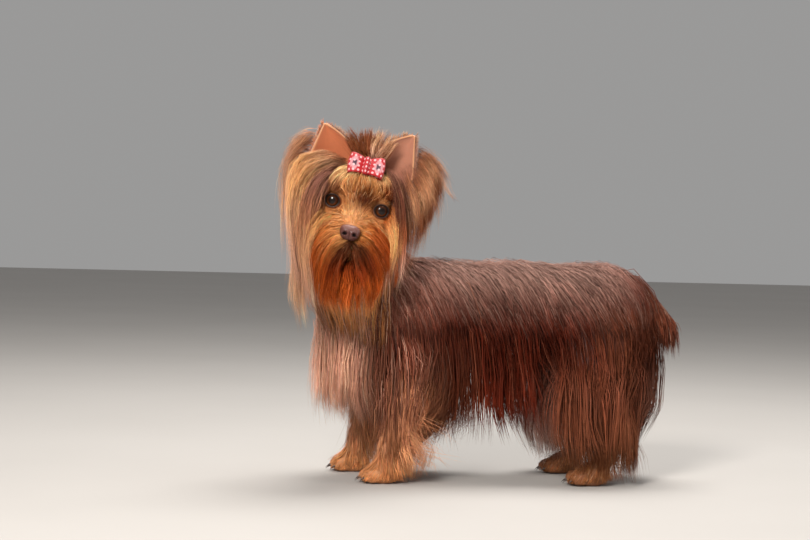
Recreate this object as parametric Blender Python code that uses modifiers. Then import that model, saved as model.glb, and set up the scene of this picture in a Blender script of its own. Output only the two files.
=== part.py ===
"""A long-coated Yorkshire terrier, standing side-on with its head turned to its left, as a
life-size museum model in solids.

Blender 4.5, metres, +Z up. The dog looks along -X with its body and turns its face to -Y. Every size
below is in millimetres; MM turns it into Blender's metres. The origin is on the floor, in the middle
of the box round the whole dog.
"""

import math
import random

import bmesh
import bpy
import numpy as np
from mathutils import Matrix, Vector
from mathutils.bvhtree import BVHTree

MM = 0.001
GAP = 0.3  # kept between two pieces that touch
SLIVER = 0.03  # edges shorter than this are closed up after a Boolean
PLACE = np.array([8.2, 20.0, 0.0])  # moves the middle of the box round the dog onto the origin
FILL = 0.45  # the share of the coat's depth that the solid core takes up under the locks

# ---------------------------------------------------------------- driving sizes of the body
WITHERS = 208.0  # height of the bare back at the shoulder
BELLY = 108.0  # height of the breastbone
CHEST_X, RIBS_X, LOIN_X, CROUP_X = -130.0, -75.0, 20.0, 105.0  # along the body, tail end positive
HALF_RIBS, HALF_LOIN, HALF_CROUP = 42.0, 38.0, 42.0
LEG_TOP = 100.0  # the level where the legs are parted from the body
PAW_LENGTH, PAW_WIDTH, PAW_HEIGHT = 36.0, 26.0, 21.0
FORE_TRACK, HIND_TRACK = 42.0, 44.0  # from the middle of the body to a foot
FORE_PAW_X = {"left": -108.0, "right": -131.0}
HIND_PAW_X = {"left": 94.0, "right": 83.0}
SIDE = {"left": -1.0, "right": 1.0}  # the dog's own left is at -Y

# ---------------------------------------------------------------- driving sizes of the head
EYE_MIDDLE = np.array([-142.0, -80.0, 267.0])  # the point midway between the eyes
HEAD_TURN = 4.4  # degrees that the face looks past -Y, towards -X
HEAD_TILT = 11.0  # degrees that the crown leans towards the tail
EYE_ACROSS = {"left": -22.6, "right": 19.8}  # from the middle of the face
EYE_RADIUS = 8.3
EYE_DEPTH = -5.5
NOSE_FORWARD, NOSE_DOWN = 31.0, 26.0
NOSE_RADII = (9.4, 7.0, 7.4)
EAR_TIP = {"left": (40.0, -21.0, 77.0), "right": (45.0, -21.0, 70.0)}
EAR_BASE = (24.0, -25.0, 20.0)
EAR_HALF_WIDTH, EAR_CUP, EAR_THICK = 21.0, 9.0, 2.2
KNOT_FOOT, KNOT_TOP = (0.0, -11.0, 26.0), (0.0, -14.0, 50.0)  # the gathered hair of the topknot
BOW_CENTRE = (-1.9, 2.2, 38.0)
BOW_REACH, BOW_LEAN = 18.0, 22.0  # each loop's length, and how far the bow leans back in degrees
BOW_HALF, BOW_WAIST, BOW_DEPTH, BOW_THICK = 10.5, 7.0, 5.0, 1.0
KNOT_RADII = (4.4, 4.4, 9.6)
LID, LID_OPENING = 1.6, (7.5, 6.5)  # the lids' thickness, and half the opening's width and height
MOUTH_LINE = 0.9
TAIL_ROOT, TAIL_TIP = (148.0, 0.0, 194.0), (186.0, 0.0, 172.0)

# ---------------------------------------------------------------- driving sizes of the long hair
SEED = 11
ROOT_DEPTH, FLOOR_GAP = 4.0, 2.0  # how deep a lock is rooted, and how near the floor it may come
LOCK_WIDTH, LOCK_FLATNESS, LOCK_LEAN = 27.0, 0.15, 9.0  # the lean is in degrees
BACK_START, SHOULDER_START, BACK_END = -88.0, -146.0, 152.0  # the rows along the body
PARTING, FLANK = 9.0, 74.0  # degrees from the spine to the roots of the two rows
BACK_LENGTH, FLANK_LENGTH, BELLY_LENGTH, RUMP_LENGTH, BIB_LENGTH = 98.0, 112.0, 40.0, 90.0, 62.0
MANE_LENGTH, MANE_LIFT = 58.0, 12.0
FEATHER_LENGTHS = (60.0, 34.0)  # on the upper and the lower half of a leg
FEATHER_BACK = {"fore": 12.0, "hind": 3.0}  # how far the feathering stands out behind a leg
PLUME_LENGTH = 46.0
BEARD_LENGTH, MOUSTACHE_LENGTH, CHEEK_LENGTH, BROW_LENGTH = 60.0, 70.0, 84.0, 20.0
FALL_LENGTH, FALL_LIFT = {-1: 92.0, 1: 142.0}, {-1: 15.0, 1: 22.0}  # beside the face
NAPE_LENGTH, TOPKNOT_LENGTH = 60.0, 26.0
FRINGE_LENGTH = {"left": 64.0, "right": 100.0}  # from the outer rim of an ear
STEPS = 14  # points along a lock's path
LONG = 72.0  # a lock longer than this has four cross-sections, and a shorter one three
LONG_STATIONS = ((0, 0.55), (4, 1.0), (8, 1.0), (12, 0.7))  # (point, share of the width)
SHORT_STATIONS = ((0, 0.6), (5, 1.0), (10, 0.85))
LOCK_TRIES = ((1.0, 0), (1.0, 3), (0.9, 6), (0.75, 3), (0.6, 0), (0.45, 4))  # (length, extra lift)
LOCK_ORDER = ("foreleg_left", "foreleg_right", "hindleg_left", "hindleg_right", "torso", "tail",
              "neck", "head", "ear_left", "ear_right")
DOWN = np.array([0.0, 0.0, -1.0])

# ---------------------------------------------------------------- the cuts between the pieces
PLANES = {
    "neck": ((-124, -6, 206), (-0.45, -0.25, 0.86)),
    "tail": ((160, 0, 190), (0.9, 0, 0.43)),
    "legs": ((0, 0, LEG_TOP), (0, 0, 1)),
    "floor": ((0, 0, 0), (0, 0, 1)),
}


def unit(vectors):
    """The same vectors, one unit long."""
    size = np.linalg.norm(vectors, axis=-1, keepdims=True)
    return vectors / np.maximum(size, 1e-9)


def head_axes():
    """The head's own axes as columns: to the dog's right, forward out of the face, and up."""
    turn, tilt = math.radians(HEAD_TURN), math.radians(HEAD_TILT)
    forward = np.array([-math.sin(turn), -math.cos(turn), 0.0])
    up = np.array([math.sin(tilt), 0.0, math.cos(tilt)])
    up = unit(up - forward * (up @ forward))
    return np.column_stack([np.cross(forward, up), forward, up])


HEAD = head_axes()


def on_head(across, forward, up):
    """A point of the head, given from the middle of the eyes, in the body's millimetres."""
    return EYE_MIDDLE + HEAD @ np.array([across, forward, up], float)


PLANES["head"] = (on_head(0, -41, -26), HEAD @ np.array([0, 0.78, 0.62]))  # nape to throat


# ---------------------------------------------------------------- the flesh as rounded masses
def egg(centre, radii, coat, axes=None, soft=9.0):
    """An ellipsoid of flesh, with the depth of coat over it and how softly it joins the rest."""
    return {"ends": [np.array(centre, float)], "radii": np.array(radii, float),
            "coat": np.array([coat, coat], float), "axes": axes, "soft": soft}


def limb(start, end, start_radius, end_radius, coat, soft=9.0):
    """A tapered round length of flesh between two points."""
    return {"ends": [np.array(start, float), np.array(end, float)],
            "radii": np.array([start_radius, end_radius], float),
            "coat": np.array(coat, float), "axes": None, "soft": soft}


def trunk_masses():
    ribs_half_height = (WITHERS - BELLY) / 2
    middle = (WITHERS + BELLY) / 2
    masses = [
        egg((RIBS_X, 0, middle), (72, HALF_RIBS, ribs_half_height), 14),
        egg((LOIN_X, 0, middle + 9), (82, HALF_LOIN, 40), 14),
        egg((CROUP_X, 0, middle + 4), (58, HALF_CROUP, 45), 14),
        egg((CHEST_X, 0, middle - 8), (34, 34, 40), 16),
        limb((RIBS_X - 20, 0, WITHERS - 32), (CROUP_X + 5, 0, WITHERS - 33), 31, 31, (14, 14)),
    ]
    for side in SIDE.values():
        masses.append(egg((-103, side * 31, middle - 9), (34, 17, 46), 12))
        masses.append(egg((104, side * 33, middle - 24), (38, 19, 48), 13))
    return masses


def neck_masses():
    return [
        limb((-120, 0, 182), (-136, -18, 226), 38, 32, (14, 14)),
        limb((-136, -18, 226), (-140, -40, 254), 32, 28, (14, 10)),
    ]


def leg_masses(end, name):
    """The masses of one leg, from where it leaves the body down to the paw."""
    side = SIDE[name]
    if end == "fore":
        paw_x, track = FORE_PAW_X[name], FORE_TRACK
        elbow = (paw_x + 20, side * (track - 5), 112)
        wrist = (paw_x + 9, side * track, 34)
        joints = [limb(elbow, wrist, 16, 9.5, (6, 8)),
                  limb(wrist, (paw_x + 3, side * track, 14), 9.5, 10, (6, 4))]
    else:
        paw_x, track = HIND_PAW_X[name], HIND_TRACK
        stifle = (paw_x - 2, side * (track - 6), 114)
        hock = (paw_x + 30, side * track, 52)
        joints = [limb(stifle, hock, 21, 10.5, (6, 8)),
                  limb(hock, (paw_x + 10, side * track, 15), 10, 9.5, (7, 5))]
    half = np.array([PAW_LENGTH, PAW_WIDTH, PAW_HEIGHT]) / 2
    masses = joints + [egg((paw_x + 2, side * track, half[2] - 1.5), half * (0.9, 1, 1), 3)]
    for toe in (-1.5, -0.5, 0.5, 1.5):
        middle = (paw_x - half[0] * (0.72 - 0.1 * toe**2), side * track + toe * half[1] * 0.52, 7.5)
        masses.append(egg(middle, (8.5, 3.6, 6.6), 1.5, None, 1.6))
    return masses


def tail_masses():
    return [limb(TAIL_ROOT, TAIL_TIP, 10, 6, (8, 10))]


def head_masses():
    masses = [
        egg(on_head(0, -27, 6), (34, 36, 31), 5, HEAD),  # skull
        limb(on_head(0, -4, -14), on_head(0, 21, -22), 16, 11, (4, 2), 7),  # muzzle
        limb(on_head(0, -10, -32), on_head(0, 17, -33.5), 12, 6.5, (3, 2), 5),  # lower jaw
        limb(on_head(*KNOT_FOOT), on_head(*KNOT_TOP), 7, 6, (0, 0), 5),  # gathered topknot
    ]
    for side in (-1, 1):
        masses.append(egg(on_head(side * 18, -15, -15), (15, 21, 18), 5, HEAD, 7))  # cheek
        masses.append(egg(on_head(side * 15, -7, 11), (13, 9, 8), 2, HEAD, 5))  # brow
        masses.append(egg(on_head(side * 7.5, 17, -26), (7.5, 10, 6), 2, HEAD, 3))  # lip
    return masses


def mass_distance(points, mass, fill):
    """The distance in millimetres from points to a mass whose coat is filled to that share."""
    coat = mass["coat"] * fill
    if len(mass["ends"]) == 1:
        local = points - mass["ends"][0]
        if mass["axes"] is not None:
            local = local @ mass["axes"]
        radii = mass["radii"] + coat[0]
        near = np.linalg.norm(local / radii, axis=-1)
        slope = np.linalg.norm(local / radii**2, axis=-1)
        return near * (near - 1) / np.maximum(slope, 1e-9)
    start, end = mass["ends"]
    along = end - start
    share = np.clip((points - start) @ along / (along @ along), 0, 1)
    radii = mass["radii"] + coat
    radius = radii[0] + (radii[1] - radii[0]) * share
    return np.linalg.norm(points - start - share[..., None] * along, axis=-1) - radius


LEGS = {(end, name): leg_masses(end, name) for end in ("fore", "hind") for name in SIDE}
FLESH = trunk_masses() + neck_masses() + tail_masses() + head_masses()
FLESH += [mass for leg in LEGS.values() for mass in leg]


def flesh_distance(points, fill=FILL):
    """The distance to all the masses of the dog, run smoothly into each other."""
    total = np.full(len(points), 1e3)
    for mass in FLESH:
        one = mass_distance(points, mass, fill)
        share = np.clip(0.5 + 0.5 * (total - one) / mass["soft"], 0, 1)
        total = total * (1 - share) + one * share - mass["soft"] * share * (1 - share)
    return total


def flesh_normal(points, fill=FILL):
    """The outward direction of the flesh at points."""
    reach = 0.4
    steps = np.eye(3) * reach
    return unit(np.stack([flesh_distance(points + step, fill)
                          - flesh_distance(points - step, fill) for step in steps], -1))


# ---------------------------------------------------------------- meshes and Booleans
def new_object(name, mesh):
    made = bpy.data.objects.new(name, mesh)
    parts.objects.link(made)
    return made


def mesh_object(name, points, faces):
    """A mesh object from points in millimetres in the dog's own axes."""
    mesh = bpy.data.meshes.new(name)
    mesh.from_pydata([tuple(p) for p in np.asarray(points) * MM], [], faces)
    return new_object(name, mesh)


def points_of(target):
    found = np.empty(len(target.data.vertices) * 3)
    target.data.vertices.foreach_get("co", found)
    return found.reshape(-1, 3) / MM


def apply_modifiers(target):
    graph = bpy.context.evaluated_depsgraph_get()
    mesh = bpy.data.meshes.new_from_object(target.evaluated_get(graph))
    target.modifiers.clear()
    old, target.data = target.data, mesh
    bpy.data.meshes.remove(old)


def remove(target):
    bpy.data.objects.remove(target, do_unlink=True)


def balls_along(mass, fill, spacing=6.0):
    """Overlapping spheres that stand for a mass before it is smoothed: (centre, radii, axes)."""
    coat = mass["coat"] * fill
    if len(mass["ends"]) == 1:
        return [(mass["ends"][0], mass["radii"] + coat[0], mass["axes"])]
    start, end = mass["ends"]
    radii = mass["radii"] + coat
    count = max(2, int(np.linalg.norm(end - start) / spacing))
    found = []
    for share in np.linspace(0, 1, count):
        radius = radii[0] + (radii[1] - radii[0]) * share
        found.append((start + (end - start) * share, np.full(3, radius), None))
    return found


def fleshed(name, masses, voxel, triangles):
    """One closed skin over some of the masses, following the blended flesh of the whole dog."""
    soup = bmesh.new()
    for mass in masses:
        for centre, radii, axes in balls_along(mass, FILL):
            turn = Matrix(axes.tolist()).to_4x4() if axes is not None else Matrix()
            place = Matrix.Translation(Vector(centre * MM)) @ turn
            place = place @ Matrix.Diagonal((*(radii * MM), 1.0))
            bmesh.ops.create_icosphere(soup, subdivisions=3, radius=1.0, matrix=place)
    mesh = bpy.data.meshes.new(name)
    soup.to_mesh(mesh)
    soup.free()
    skin = new_object(name, mesh)
    remesh = skin.modifiers.new("remesh", "REMESH")
    remesh.mode = "VOXEL"
    remesh.voxel_size = voxel * MM
    apply_modifiers(skin)
    points = points_of(skin)
    for _ in range(5):
        off = np.clip(flesh_distance(points), -3, 3)
        points -= flesh_normal(points) * off[:, None] * 0.8
    skin.data.vertices.foreach_set("co", (points * MM).ravel())
    decimate = skin.modifiers.new("decimate", "DECIMATE")
    skin.data.calc_loop_triangles()
    decimate.ratio = min(1.0, triangles / len(skin.data.loop_triangles))
    apply_modifiers(skin)
    return skin


def part_by_plane(target, plane, keep_front, gap=GAP):
    """Cuts a closed mesh at a plane and caps it there, half a gap back from the plane."""
    through, normal = PLANES[plane]
    shape = bmesh.new()
    shape.from_mesh(target.data)
    way = Vector(unit(np.array(normal, float)))
    place = Vector(np.array(through, float) * MM) + way * gap / 2 * MM * (1 if keep_front else -1)
    cut = bmesh.ops.bisect_plane(shape, geom=shape.verts[:] + shape.edges[:] + shape.faces[:],
                                 dist=1e-7, plane_co=place, plane_no=way,
                                 clear_outer=not keep_front, clear_inner=keep_front)
    rim = [piece for piece in cut["geom_cut"] if isinstance(piece, bmesh.types.BMEdge)]
    bmesh.ops.holes_fill(shape, edges=rim, sides=0)
    bmesh.ops.triangulate(shape, faces=[face for face in shape.faces if len(face.verts) > 3])
    bmesh.ops.recalc_face_normals(shape, faces=shape.faces[:])
    shape.to_mesh(target.data)
    shape.free()
    keep_largest(target)


def flesh_node(name, masses, voxel, triangles, **sides):
    """A piece of the dog's flesh, cut off at the named planes: True keeps a plane's front."""
    skin = fleshed(name, masses, voxel, triangles)
    for plane, keep_front in sides.items():
        part_by_plane(skin, plane, keep_front, 0 if plane == "floor" else GAP)
    return skin


def islands(shape):
    """The separate closed surfaces of a bmesh, as lists of faces."""
    left = set(shape.faces)
    found = []
    while left:
        group, edge_of_group = [], [left.pop()]
        while edge_of_group:
            face = edge_of_group.pop()
            group.append(face)
            for edge in face.edges:
                for near in edge.link_faces if len(edge.link_faces) == 2 else ():
                    if near in left:
                        left.remove(near)
                        edge_of_group.append(near)
        found.append(group)
    return found


def keep_largest(target):
    """Leaves only the largest closed surface of a mesh, in triangles with no slivers."""
    shape = bmesh.new()
    shape.from_mesh(target.data)
    bmesh.ops.triangulate(shape, faces=shape.faces[:])
    bmesh.ops.dissolve_degenerate(shape, dist=SLIVER * MM, edges=shape.edges[:])
    bmesh.ops.triangulate(shape, faces=shape.faces[:])
    groups = islands(shape)
    kept = set(max(groups, key=lambda group: sum(face.calc_area() for face in group)))
    bmesh.ops.delete(shape, geom=[face for face in shape.faces if face not in kept],
                     context="FACES")
    shape.to_mesh(target.data)
    shape.free()


def boolean(target, others, operation, solver="EXACT"):
    """Joins or cuts a node with other closed meshes, which are then removed."""
    group = bpy.data.collections.new("operands")
    for other in others:
        group.objects.link(other)
    modifier = target.modifiers.new(operation.lower(), "BOOLEAN")
    modifier.operation = operation
    modifier.operand_type = "COLLECTION"
    modifier.collection = group
    modifier.solver = solver
    apply_modifiers(target)
    for other in others:
        remove(other)
    bpy.data.collections.remove(group)
    keep_largest(target)


def paint(target, name, colour, roughness):
    material = bpy.data.materials.new(name)
    material.use_nodes = True
    shader = material.node_tree.nodes["Principled BSDF"]
    shader.inputs["Base Color"].default_value = (*colour, 1.0)
    shader.inputs["Roughness"].default_value = roughness
    target.data.materials.clear()
    target.data.materials.append(material)


for old in list(bpy.data.objects):
    bpy.data.objects.remove(old, do_unlink=True)
parts = bpy.data.collections.new("yorkshire_terrier")
bpy.context.scene.collection.children.link(parts)


# ---------------------------------------------------------------- ears, eyes, nose and bow
def head_object(name, points, faces):
    """A mesh object from points in the head's own millimetres, measured from the eyes."""
    return mesh_object(name, [on_head(*point) for point in points], faces)


def ear_half(share):
    """Half the ear's width at a share of its height: narrow at its root, pointed at its tip."""
    return EAR_HALF_WIDTH * (1 - share**3) * min(1, 0.6 + 1.4 * share) + 0.8


def ear_leaf(name, ear, swell):
    """One pricked ear: a cupped leaf, swollen on every side where it is a cutter."""
    across_steps, up_steps = 9, 7
    side, base, tip = SIDE[ear], np.array(EAR_BASE), np.array(EAR_TIP[ear])
    points, faces = [], []
    for row in range(up_steps):
        share = row / (up_steps - 1)
        half = ear_half(share) + swell
        centre = base + (tip - base) * np.array([share**2, share, share])
        centre[2] += 2 * swell * (share - 0.5)
        for column in range(across_steps):
            u = 2 * column / (across_steps - 1) - 1
            cup = EAR_CUP * (1 - u * u) * (1 - share) ** 0.5
            point = centre + np.array([u * half, -cup + 4 * u * (1 - share), 0])
            points.append((side * point[0], point[1], point[2]))
    for row in range(up_steps - 1):
        for column in range(across_steps - 1):
            low = row * across_steps + column
            high = low + across_steps
            for corners in ((low, low + 1, high + 1), (low, high + 1, high)):
                faces.append(corners if side > 0 else corners[::-1])
    leaf = head_object(name, points, faces)
    shell = leaf.modifiers.new("shell", "SOLIDIFY")
    shell.thickness = (EAR_THICK + 2 * swell) * MM
    shell.offset = 0
    shell.use_even_offset = True
    apply_modifiers(leaf)
    return leaf


def ball(name, centre, radii, segments=20, rings=12, axes=None):
    """A closed ellipsoid in the head's own axes, its poles up and down."""
    mesh = bpy.data.meshes.new(name)
    shape = bmesh.new()
    turn = Matrix(HEAD.tolist()) @ (axes or Matrix.Identity(3))
    place = Matrix.Translation(Vector(on_head(*centre) * MM)) @ turn.to_4x4()
    place = place @ Matrix.Diagonal((*(np.array(radii, float) * MM), 1.0))
    bmesh.ops.create_uvsphere(shape, u_segments=segments, v_segments=rings, radius=1.0,
                              matrix=place)
    shape.to_mesh(mesh)
    shape.free()
    return new_object(name, mesh)


def eye_centre(name):
    return (EYE_ACROSS[name], EYE_DEPTH, 0)


def eye_turn(side):
    """The eye looks a little outward: its own axes within the head."""
    return Matrix.Rotation(math.radians(-10 * side), 3, "Z")


def nose_pad(name, swell):
    """The leather of the nose: a rounded pad, wider above, with its two nostrils."""
    pad = ball(name, (0, NOSE_FORWARD, -NOSE_DOWN), np.array(NOSE_RADII) + swell, 14, 9)
    if swell:
        return pad
    nostrils = []
    for side in (-1, 1):
        place = (side * 4.6, NOSE_FORWARD + 6.6, -NOSE_DOWN - 0.9)
        nostrils.append(ball("nostril", place, (2.1, 3.2, 1.6), 8, 5))
        slit = (side * 7.2, NOSE_FORWARD + 4.6, -NOSE_DOWN - 1.9)
        nostrils.append(ball("nostril_slit", slit, (2.2, 2.6, 0.8), 6, 4))
    nostrils.append(ball("philtrum", (0, NOSE_FORWARD + 7.2, -NOSE_DOWN - 4.4),
                         (0.6, 2.4, 3.4), 6, 4))
    boolean(pad, nostrils, "DIFFERENCE")
    return pad


def mouth_groove(name):
    """The line of the mouth: a thin tube bent round the muzzle between lip and lower jaw."""
    curve = bpy.data.curves.new(name, "CURVE")
    curve.dimensions = "3D"
    curve.bevel_depth = MOUTH_LINE * MM
    curve.bevel_resolution = 1
    curve.use_fill_caps = True
    line = curve.splines.new("POLY")
    turns = np.radians(np.linspace(-118, 118, 15))
    line.points.add(len(turns) - 1)
    for point, turn in zip(line.points, turns):
        place = (13.5 * math.sin(turn), 10 + 21.0 * math.cos(turn), -31.5 - 3 * math.cos(turn) ** 4)
        point.co = (*(on_head(*place) * MM), 1)
    guide = new_object(name, curve)
    graph = bpy.context.evaluated_depsgraph_get()
    mesh = bpy.data.meshes.new_from_object(guide.evaluated_get(graph))
    remove(guide)
    shape = bmesh.new()
    shape.from_mesh(mesh)
    bmesh.ops.remove_doubles(shape, verts=shape.verts[:], dist=1e-6)
    shape.to_mesh(mesh)
    shape.free()
    return new_object(name, mesh)


def bow_loops(name, swell):
    """The ribbon of the bow: one piece with a loop to each side, narrow under the knot."""
    lean = Matrix.Rotation(math.radians(BOW_LEAN), 3, "X")
    along_steps, up_steps = 8, 2
    loops = []
    for side in (-1, 1):
        points, faces = [], []
        for i in range(along_steps + 1):
            turn = math.radians(44 + 272 * i / along_steps)
            reach = BOW_REACH * (0.5 - 0.5 * math.cos(turn))
            depth = -BOW_DEPTH * math.sin(turn) * (reach / BOW_REACH) ** 0.6
            half = BOW_WAIST + (BOW_HALF - BOW_WAIST) * (reach / BOW_REACH) ** 0.8
            for j in range(up_steps + 1):
                v = 2 * j / up_steps - 1
                place = Vector((side * (reach - 1.5 * v * v * reach / BOW_REACH), depth, v * half))
                points.append(np.array(BOW_CENTRE) + np.array(lean @ place))
        for i in range(along_steps):
            for j in range(up_steps):
                low = i * (up_steps + 1) + j
                faces.append([low, low + 1, low + up_steps + 2, low + up_steps + 1])
        loop = head_object(name, points, faces)
        shell = loop.modifiers.new("ribbon", "SOLIDIFY")
        shell.thickness = (BOW_THICK + 2 * swell) * MM
        shell.offset = 0
        apply_modifiers(loop)
        loops.append(loop)
    waist = ball(name, BOW_CENTRE, np.array([3.6, 2.6, BOW_WAIST + 1.1]) + swell, 8, 6, lean)
    boolean(waist, loops, "UNION")
    waist.name = name
    return waist


def flesh_of_the_body():
    """Torso, neck, tail and legs as bare cores, parted at their planes."""
    trunk = trunk_masses()
    every_leg = [mass for leg in LEGS.values() for mass in leg]
    nodes = {
        "torso": flesh_node("torso", trunk + neck_masses() + every_leg + tail_masses(), 4.0, 1150,
                            legs=True, neck=False, tail=False),
        "neck": flesh_node("neck", trunk + neck_masses() + head_masses(), 4.0, 1500,
                           neck=True, head=False),
        "tail": flesh_node("tail", trunk + tail_masses(), 3.0, 900, tail=True),
        "head": flesh_node("head", neck_masses() + head_masses(), 2.0, 1300, head=True),
    }
    for (end, name), masses in LEGS.items():
        leg = f"{end}leg_{name}"
        nodes[leg] = flesh_node(leg, masses, 1.8, 390, legs=False, floor=True)
    return nodes


def carve_head(nodes):
    """Seats the eyes in their lids, the ears and the nose in the head, and adds the bow."""
    head = nodes["head"]
    lids, cuts = [], [mouth_groove("mouth")]
    for name, side in SIDE.items():
        centre = eye_centre(name)
        lids.append(ball("lid", centre, [EYE_RADIUS + LID] * 3, 14, 8))
        cuts.append(ball("socket", centre, [EYE_RADIUS + GAP] * 3, 14, 8))
        cuts.append(lid_opening("opening", name, side))
        nodes[f"eye_{name}"] = ball(f"eye_{name}", centre, [EYE_RADIUS] * 3, 14, 8)
        nodes[f"ear_{name}"] = ear_leaf(f"ear_{name}", name, 0)
        cuts.append(ear_leaf("slot", name, GAP))
    boolean(head, lids, "UNION")
    cuts.append(nose_pad("nose_seat", GAP))
    boolean(head, cuts, "DIFFERENCE")
    nodes["nose"] = nose_pad("nose", 0)
    nodes["bow"] = bow_loops("bow", 0)
    lean = Matrix.Rotation(math.radians(BOW_LEAN), 3, "X")
    nodes["bow_knot"] = ball("bow_knot", BOW_CENTRE, KNOT_RADII, 10, 7, lean)
    boolean(nodes["bow_knot"], [bow_loops("bow_cutter", GAP)], "DIFFERENCE")


def lid_opening(name, eye, side):
    """The almond between the lids: an oval prism that looks out along the eye's own axis."""
    mesh = bpy.data.meshes.new(name)
    shape = bmesh.new()
    place = Matrix.Translation(Vector(on_head(*eye_centre(eye)) * MM))
    place = place @ (Matrix(HEAD.tolist()) @ eye_turn(side)).to_4x4()
    place = place @ Matrix.Rotation(math.radians(-90), 4, "X") @ Matrix.Translation((0, 0, 0.01))
    place = place @ Matrix.Diagonal((LID_OPENING[0] * MM, LID_OPENING[1] * MM, 0.02, 1.0))
    bmesh.ops.create_cone(shape, cap_ends=True, cap_tris=False, segments=14, radius1=1.0,
                          radius2=1.0, depth=1.0, matrix=place)
    shape.to_mesh(mesh)
    shape.free()
    return new_object(name, mesh)


# ---------------------------------------------------------------- the long hair in locks
DRAW = random.Random(SEED)
LOCKS = {}


def lock(node, root, heading, length, width, lift=4.0, fall=0.012, facing=(0, 0, 0)):
    """Puts a lock on the list: its root, how it sets off, how it falls and where it faces."""
    LOCKS.setdefault(node, []).append(
        {"root": np.array(root, float), "heading": np.array(heading, float), "length": length,
         "width": width, "lift": lift, "fall": fall, "facing": np.array(facing, float)})


def varied(value, share=0.08):
    """The same value, a little more or less."""
    return value * (1 + share * (2 * DRAW.random() - 1))


def body_locks():
    """Hair that parts along the spine and hangs straight down both sides to a level hem."""
    tiers = ((BACK_START, 13, PARTING, BACK_LENGTH, 7.0),
             (SHOULDER_START, 14, FLANK, FLANK_LENGTH, 2.0))
    half_girth, middle = 58, 158
    for side in SIDE.values():
        for start, count, angle, length, lift in tiers:
            for step in range(count):
                x = start + (BACK_END - start) * step / (count - 1)
                turn = math.radians(varied(angle, 0.05))
                half = half_girth - max(0, -105 - x) * 0.5
                root = (x, side * half * math.sin(turn), middle + half_girth * math.cos(turn))
                back = 0.10 + 0.32 * max(0, (x - 20) / 130) ** 1.5
                lock("torso", root, (back, side * math.cos(turn), -math.sin(turn)),
                     varied(length), LOCK_WIDTH, lift, 0.016)
        for step in range(4):
            lock("torso", (-50 + 40 * step, side * 26, 90), (0.1, side * 0.5, -1),
                 varied(BELLY_LENGTH), LOCK_WIDTH + 4, 2.0, 0.03)
        for step in range(3):
            root = (178, side * (10 + 17 * step), 172 - 9 * step)
            lock("torso", root, (0.5, side * 0.2, -1), varied(RUMP_LENGTH), LOCK_WIDTH, 3.5,
                 0.02)
    for row in range(3):
        count = 4 + row % 2
        for step in range(count):
            y = (step - (count - 1) / 2) * 20
            lock("torso", (-178 + 0.01 * y * y, y, 186 - 24 * row), (-0.3, y / 60, -1),
                 varied(BIB_LENGTH), LOCK_WIDTH, 5.0 - 2.0 * row, 0.012)


def neck_locks():
    """The mane round the neck, falling over the withers, the shoulders and the breast."""
    through, normal = (np.array(part, float) for part in PLANES["neck"])
    count, radius = 9, 36
    for ring in range(2):
        for step in range(count):
            turn = 2 * math.pi * (step + 0.5 * ring) / count
            out = np.array([math.cos(turn), math.sin(turn), 0])
            behind = max(0, out[0])
            root = through + out * radius + (-4 * ring, -14 * ring, 0)
            root[2] += 10 + 20 * ring - (out[:2] * radius) @ normal[:2] / normal[2]
            lock("neck", root, out * 0.4 + DOWN, varied(MANE_LENGTH - 12 * behind), LOCK_WIDTH,
                 MANE_LIFT + 2 * ring - 5 * behind, 0.01)


def leg_locks():
    """Feathering that makes each leg a column, longest behind, down to the paw."""
    for (end, name), masses in LEGS.items():
        top, foot = masses[0]["ends"]
        back = FEATHER_BACK[end]
        for level, (z, count) in enumerate(((84, 6), (48, 5))):
            for step in range(count):
                turn = 2 * math.pi * (step + 0.5 * level) / count
                out = np.array([math.cos(turn), math.sin(turn), 0])
                middle = foot + (top - foot) * (z - foot[2]) / (top[2] - foot[2])
                behind = max(0, out[0])
                facing = (0, 0, 0) if behind < 0.4 else (0.4, -1 if out[1] < 0.1 else 1, 0)
                lock(f"{end}leg_{name}", middle + out * 20, out * (0.35 + 0.03 * back) + DOWN,
                     varied(FEATHER_LENGTHS[level] + 0.5 * back * behind), 24 - 2 * level,
                     5.5 - 4 * level + back * behind, 0.0, facing)


def tail_locks():
    """The plume that falls from the upper side of the tail."""
    for side in (-1, 1):
        for step in range(4):
            share = 0.45 + 0.17 * step
            root = np.array(TAIL_ROOT) + (np.array(TAIL_TIP) - np.array(TAIL_ROOT)) * share
            lock("tail", root + (0, side * 6, 12), (0.6, side * 0.6, -0.3), varied(PLUME_LENGTH), 18,
                 1.5 + 1.0 * step, 0.03, (0, side, 0.5))


def head_lock(root, heading, length, width=13.0, lift=3.0, fall=0.012, facing=(0, 0, 0)):
    lock("head", on_head(*root), HEAD @ np.array(heading, float), length, width, lift, fall,
         HEAD @ np.array(facing, float))


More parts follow.
